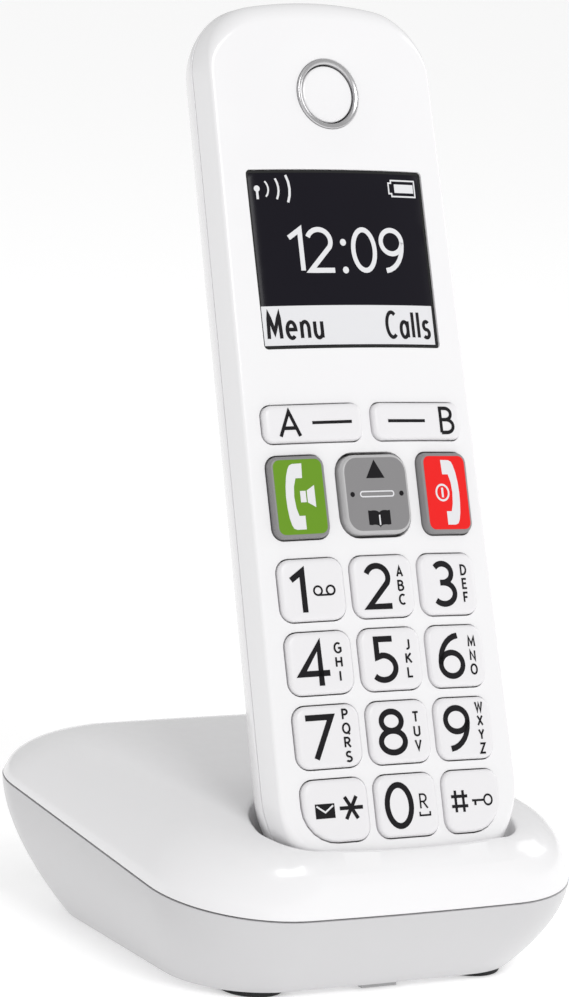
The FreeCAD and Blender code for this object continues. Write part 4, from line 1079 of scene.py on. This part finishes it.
RECEIVER = [(0.9, 6.45), (-1.1, 6.4), (-1.75, 6.1), (-2.15, 5.4), (-2.6, 4.0), (-2.93, 2.0), (-3.05, 0.0),
            (-2.98, -2.0), (-2.75, -4.0), (-2.4, -5.4), (-2.0, -6.1), (-1.35, -6.35), (0.6, -6.35),
            (0.6, -3.7), (-0.65, -3.7), (-1.1, -2.2), (-1.32, 0.0), (-1.15, 2.0), (-0.65, 3.6), (0.75, 3.6)]
SPEAKER = [(1.45, -1.15), (3.1, -2.15), (3.1, 2.15), (1.45, 1.15)]


def inset_rings(loop, normals, profile):
    """Rings over a flat outline, from pairs of a distance inside it and a depth."""
    return [[(u, depth, v) for u, v in loop - normals * inset] for inset, depth in profile]


def plate(loop, normals, profile):
    """A piece over a flat outline, closed at its front and its back."""
    piece = Piece()
    numbers = piece.rings(inset_rings(loop, normals, profile))
    piece.cap(numbers[-1], (0, profile[-1][1], 0))
    piece.cap(numbers[0][::-1], (0, profile[0][1], 0))
    return piece


def key_cap(name, place, size, corners, thick, profile, material, node):
    """A key cap: straight sides, a rounded front edge and a slightly cushioned top."""
    piece = Piece()
    loop, normals = rounded_rectangle(size, corners)
    rings = inset_rings(loop, normals, [(0.0, thick)] + profile)
    inset, depth = profile[-1]
    for share in (0.66, 0.33):
        rings.append([(u * share, depth * share ** 2, v * share) for u, v in loop - normals * inset])
    numbers = piece.rings(rings)
    piece.cap(numbers[-1], (0, 0, 0))
    piece.cap(numbers[0][::-1], (0, thick, 0))
    piece.build(name, place, material, node, material, [node])


def pad_legend(label):
    """The marks on one key of the dialling pad."""
    marks = Print()
    if label.isdigit():
        width = DIGIT_WIDTHS.get(label, 1.27)
        marks.glyph(label, DIGIT_PLACES[label], DIGIT_HEIGHT, width, DIGIT_STROKE)
    letters = LETTERS.get(label, "")
    for index, letter in enumerate(letters):
        height = ((len(letters) - 1) / 2 - index) * LETTER_PITCH - 0.05
        marks.glyph(letter, (LETTER_PLACE, height), 2.2, 1.22, 0.38)
    if label == "1":
        for u in (0.95, 3.65):
            marks.stroke(round_stroke(u, -0.3, 0.85), 0.38)
        marks.stroke([(0.95, -1.17), (3.65, -1.17)], 0.36)
    if label == "0":
        marks.glyph("R", (3.5, 0.5), 3.05, 1.15, 0.34)
        marks.stroke([(2.4, -1.5), (2.4, -2.2), (4.7, -2.2), (4.7, -1.5)], 0.34)
    if label == "star":
        marks.box(-4.6, -1.4, -0.5, 1.4)
        for turn in (0, 60, 120):
            u, v = (2.45 * wave(math.radians(turn)) for wave in (math.cos, math.sin))
            marks.stroke([(3.0 - u, 0.3 - v), (3.0 + u, 0.3 + v)], 0.72)
    if label == "hash":
        for side in (-0.95, 0.95):
            marks.stroke([(-3.6 + side, -2.1), (-3.6 + side, 2.1)], 0.6)
            marks.stroke([(-5.6, side), (-1.6, side)], 0.6)
        marks.stroke(round_stroke(3.5, 0.0, 0.98), 0.38)
        marks.stroke([(-0.5, 0.0), (2.35, 0.0)], 0.42)
        marks.stroke([(0.25, 0.0), (0.25, -0.95)], 0.52)
    return marks


def soft_legend(side):
    """The letter and the bar on one soft key."""
    marks = Print()
    if side < 0:
        marks.glyph("A", (-5.3, -0.1), 5.5, 1.62, 0.7)
        marks.stroke([(-0.4, 0.0), (8.2, 0.0)], 0.6)
    else:
        marks.glyph("B", (6.9, 0.05), 5.5, 1.25, 0.7)
        marks.stroke([(-7.5, 0.0), (1.5, 0.0)], 0.6)
    return marks


def call_legend(side):
    """The light signs on a call key's tile."""
    marks = Print()
    marks.shape([(-side * u, v) for u, v in RECEIVER])
    if side < 0:
        marks.box(0.0, -1.1, 1.2, 1.1)
        marks.shape(SPEAKER)
    else:
        marks.stroke(round_stroke(-1.2, 0.0, 1.55), 0.4)
        marks.stroke([(-1.2, -0.95), (-1.2, 0.95)], 0.5)
    return marks


def call_key(name, label, place, size, corners):
    """A grey cap that carries a coloured tile almost to its edges."""
    side, colour = (-1, "green_tile") if name == "talk_key" else (1, "red_tile")
    key_cap(f"cap_{label}", place, size, corners, KEY_THICK, CRISP, "grey_key", name)
    tile_size = [length - 2 * CALL_BORDER for length in size]
    tile = plate(*rounded_rectangle(tile_size, CALL_CORNER - CALL_BORDER), TILE_EDGE)
    tile.build(f"tile_{label}", place, colour, name, colour, [name.replace("key", "tile")])
    lifted = place @ Matrix.Translation((0, -TILE_PROUD, 0))
    call_legend(side).build(f"legend_{label}", lifted, "light_print", name, colour)


def navigation_key(place, size, corners):
    """The grey rocker with its bright bevel and signs."""
    body = "navigation_key"
    loop, normals = rounded_rectangle(size, corners)
    bevel = plate(loop, normals, [(0.0, NAVIGATION_THICK)] + BEVEL)
    bevel.build("cap_navigation", place, "grey_bevel", body, "grey_key", [body])
    face = plate(loop, normals, NAVIGATION_FACE)
    face.build("face_navigation", place, "grey_key", body, "grey_key")
    place = place @ Matrix.Translation((0, -NAVIGATION_PROUD, 0))
    dark = Print()
    dark.shape([(-2.1, 3.1), (2.1, 3.1), (0.0, 6.7)])
    for u in (-5.6, 5.6):
        dark.disc((u, 0.0), 0.5)
    book = [(-2.5, -3.2)] + bend(-1.25, -3.75, 1.25, 0.55, 120, 20) + [(0.0, -3.6)]
    book += bend(1.25, -3.75, 1.25, 0.55, 160, 60) + [(2.5, -3.2), (2.5, -6.0)]
    book += bend(1.25, -6.6, 1.25, 0.6, 60, 160) + [(0.0, -6.6)]
    book += bend(-1.25, -6.6, 1.25, 0.6, 20, 120) + [(-2.5, -6.0)]
    dark.shape(book)
    dark.build("legend_navigation", place, "legend_ink", body, "grey_key")
    light = Print(0.05)
    bar = rounded_rectangle((7.6, 1.0), 0.48)[0].tolist()
    light.stroke(bar + bar[:1], 0.26)
    light.stroke([(0.0, -6.1), (0.0, -4.1)], 0.3)
    light.build("light_navigation", place, "light_print", body, "grey_key")


def make_keys():
    """Every key of the handset with its marks."""
    for name, x, z, size, corners, _, proud in all_keys():
        place = HANDSET @ key_frame(x, z, proud)
        label = name.replace("_key", "").replace("key_", "")
        if name == "navigation_key":
            navigation_key(place, size, corners)
        elif name in ("talk_key", "end_key"):
            call_key(name, label, place, size, corners)
        else:
            soft = name.startswith("soft")
            thick, marks = (SOFT_THICK, soft_legend(x)) if soft else (KEY_THICK, pad_legend(label))
            key_cap(f"cap_{label}", place, size, corners, thick, CUSHION, "key_plastic", name)
            marks.build(f"legend_{label}", place, "legend_ink", name, "key_plastic")
        if name == "key_star":
            flap = Print(0.05)
            flap.stroke([(-4.3, 1.0), (-2.55, -0.25), (-0.8, 1.0)], 0.34)
            flap.build("legend_star_flap", place, "light_print", name, "key_plastic")


# ---------------------------------------------------------------- display and earpiece

HALF_WIDE, HALF_HIGH = DISPLAY[0] / 2, DISPLAY[1] / 2
BAND_LOW, BAND_HIGH = -HALF_HIGH + 0.75, HALF_HIGH - 26.9
WORD_STYLE = (5.7, 0.78, 0.72, 0.62)        # height, width scale, stroke and gap
WORD_RISE = 0.059


def display_glass(place):
    """The bowed display glass."""
    piece = Piece()
    size = [length - 0.06 for length in DISPLAY]
    loop, normals = rounded_rectangle(size, DISPLAY_CORNER, side_steps=24)
    profile = ((0.0, GLASS_THICK), (0.0, 0.08), (0.03, 0.025), (0.1, 0.0))
    numbers = piece.rings([[(u, face_depth(u) + sink, v) for u, v in loop - normals * inset]
                           for inset, sink in profile])
    extra = grid_between(piece.flat(numbers[-1], ACROSS_FACE), [], (1.6, 3.0))
    piece.fill(numbers[-1], [], extra, ACROSS_FACE,
               lambda points: np.column_stack([points[:, 0], face_depth(points[:, 0]), points[:, 1]]))
    piece.cap(numbers[0][::-1], (0, GLASS_THICK, 0))
    piece.build("display_lens", place, "display_glass", "handset", "display_glass",
                ["display_window"])


def display_border(place):
    """The thin dark line round the display."""
    border = Print(0.012, bowed=True)
    us = np.linspace(-HALF_WIDE + 0.3, HALF_WIDE - 0.4, 20)
    top = [(u, HALF_HIGH - 0.35) for u in us]
    bottom = [(u, -HALF_HIGH + 0.35) for u in us[::-1]]
    border.stroke(top + bottom + top[:1], 0.5)
    border.build("display_border", place, "display_border", "handset", "display_glass")


def display_picture(place):
    """The light part of the picture: the menu band, the clock, the signal and the battery."""
    light = Print(0.02, bowed=True)
    columns = np.linspace(-HALF_WIDE + 0.4, HALF_WIDE - 0.85, 16)
    for left, right in zip(columns, columns[1:]):
        light.box(left, BAND_LOW, right, BAND_HIGH)
    for digit, u, width in (("1", -11.1, 1.12), ("2", -5.5, 1.18), ("0", 4.4, 1.15), ("9", 11.1, 1.15)):
        light.glyph(digit, (u, 1.75), 9.1, width, 1.0)
    for v in (-2.25, 3.25):
        light.disc((-0.35, v), 0.68)
    u, v = -HALF_WIDE + 2.2, HALF_HIGH - 3.7
    light.disc((u, v), 0.62)
    light.stroke([(u, v), (u, v - 2.1)], 0.5)
    for radius, spread, width in ((2.4, 42, 0.34), (4.6, 28, 0.42), (7.0, 24, 0.5)):
        light.stroke(bend(u, v - 0.1, radius, radius * 0.95, -spread, spread), width)
    left, right = HALF_WIDE - 7.6, HALF_WIDE - 1.8
    low, high = HALF_HIGH - 5.05, HALF_HIGH - 1.85
    light.stroke([(left, low), (right, low), (right, high), (left, high), (left, high - 0.55),
                  (left - 0.65, high - 0.55), (left - 0.65, low + 0.55), (left, low + 0.55),
                  (left, low)], 0.3)
    light.box(left + 0.75, low + 0.75, right - 0.35, high - 0.75)
    light.build("display_picture", place, "light_print", "handset", "display_glass")


def display_words(place):
    """The two menu words on the light band."""
    words = Print(WORD_RISE, bowed=True)
    middle = (BAND_HIGH + BAND_LOW) / 2
    words.word("Menu", -HALF_WIDE + 1.1, middle, *WORD_STYLE)
    words.word("Calls", HALF_WIDE - 1.7 - word_length("Calls", *WORD_STYLE), middle, *WORD_STYLE)
    words.build("display_words", place, "legend_ink", "handset", "display_glass")


def display():
    """The display glass with its printed border and picture."""
    place = HANDSET @ Matrix.Translation((0, DISPLAY_RECESS, DISPLAY_HEIGHT))
    display_glass(place)
    display_border(place)
    display_picture(place)
    display_words(place)


def lathe(profile, count=96):
    """A turned piece about the handset's depth, from pairs of a radius and a depth, and its rings."""
    angles = np.linspace(0, 2 * math.pi, count, endpoint=False)
    piece = Piece()
    rings = piece.rings([[(radius * math.cos(angle), depth, radius * math.sin(angle)) for angle in angles]
                         for radius, depth in profile])
    return piece, rings


def earpiece():
    """The bright ring, the white disc inside it, and a black ring deep in the sound gap between them that paints
    the gap's shade.
    """
    place = HANDSET @ Matrix.Translation((0, 0, EAR_HEIGHT))
    outer, inner = EAR_RADIUS, EAR_RADIUS - EAR_WIDTH
    edge = inner - 0.3
    ring, rings = lathe([(outer, 2.2), (outer, 0.42), (outer - 0.06, 0.26), (outer - 0.2, 0.17),
                         (outer - 0.5, 0.2), (inner + 0.25, 0.34), (inner + 0.08, 0.42),
                         (inner, 0.56), (inner, 2.2)])
    ring.band(rings[-1], rings[0])
    ring.build("ear_trim", place, "ear_metal", "handset", "ear_metal", ["ear_ring"])
    disc, rings = lathe([(edge, 1.9), (edge, 0.95), (edge - 0.05, 0.8), (edge - 0.2, 0.7),
                         (edge - 0.6, 0.66), (edge * 0.66, 0.72), (edge * 0.33, 0.76)])
    disc.cap(rings[-1], (0, 0.78, 0))
    disc.cap(rings[0][::-1], (0, 1.9, 0))
    build_white(disc, "ear_disc", place, "handset", "ear_cap")
    # A thin black ring at the bottom of the sound gap: painted shade in the gap between ring and disc.
    gap, rings = lathe([(inner + 0.02, 1.5), (edge - 0.02, 1.5), (edge - 0.02, 1.7), (inner + 0.02, 1.7)])
    gap.band(rings[-1], rings[0])
    gap.build("ear_gap_shade", place, "black_plastic", "handset", "black_plastic")


# ---------------------------------------------------------------- CAD pieces that stay

def finish_cad_nodes():
    """Gives every carried-over CAD node the material of its slot."""
    slots = {part["node"]: part["material_slot"] for part in frame["record"]["subparts"]}
    for name, node in frame["nodes"].items():
        node.data.materials.clear()
        node.data.materials.append(MATERIALS[slots[name]])


# ---------------------------------------------------------------- camera, lights and floor

def camera():
    """The camera at the photograph's viewing angle, slightly rolled."""
    right = Vector((math.cos(AZIMUTH), math.sin(AZIMUTH), 0))
    back = Vector((math.sin(AZIMUTH) * math.cos(ELEVATION),
                   -math.cos(AZIMUTH) * math.cos(ELEVATION), math.sin(ELEVATION)))
    up = back.cross(right)
    rolled_right = math.cos(ROLL) * right + math.sin(ROLL) * up
    rolled_up = -math.sin(ROLL) * right + math.cos(ROLL) * up
    lens = bpy.data.cameras.new("Camera")
    lens.lens = VIEW_LENS
    lens.sensor_width = SENSOR_WIDTH
    view = bpy.data.objects.new("Camera", lens)
    scene.collection.objects.link(view)
    turn = Matrix((rolled_right, rolled_up, back)).transposed()
    view.matrix_world = Matrix.Translation(VIEW_TARGET + back * VIEW_DISTANCE) @ turn.to_4x4()
    scene.camera = view


def soft_light(name, place, target, size, power):
    """A square soft box that faces a target."""
    lamp = bpy.data.lights.new(name, "AREA")
    lamp.size = size
    lamp.energy = power
    holder = bpy.data.objects.new(name, lamp)
    scene.collection.objects.link(holder)
    holder.location = place
    holder.rotation_mode = "QUATERNION"
    holder.rotation_quaternion = (Vector(target) - Vector(place)).to_track_quat("-Z", "Y")


def studio():
    """A pale floor, a white surround and soft boxes in front and to the right."""
    world = bpy.data.worlds.new("World")
    scene.world = world
    world.use_nodes = True
    surround = world.node_tree.nodes["Background"]
    surround.inputs["Color"].default_value = (1, 1, 1, 1)
    surround.inputs["Strength"].default_value = 0.62
    soft_light("key_light", (-0.1, -0.9, 0.9), (0, -0.02, 0.1), 0.45, 4.4)
    soft_light("side_light", (1.0, -0.1, 0.5), (0, 0, 0.05), 0.5, 1.5)
    edge = circle(9.0, 96)[0]
    mesh = bpy.data.meshes.new("floor")
    mesh.from_pydata([(x, y, 0.0) for x, y in edge], [], [tuple(range(len(edge)))])
    mesh.materials.append(node_material("floor_paper", (0.92, 0.92, 0.92), 0.8, shade=0.995,
                                        grain=300.0, Specular_IOR_Level=0.1,
                                        Emission_Color=(1, 1, 1, 1), Emission_Strength=0.36))
    floor = bpy.data.objects.new("floor", mesh)
    scene.collection.objects.link(floor)
    scene.view_settings.view_transform = "Standard"


camera()
studio()
finish_cad_nodes()
front_casing()
rear_casing()
battery_door()
charging_strips()
charging_contacts()
base_top_casing()
make_keys()
display()
earpiece()
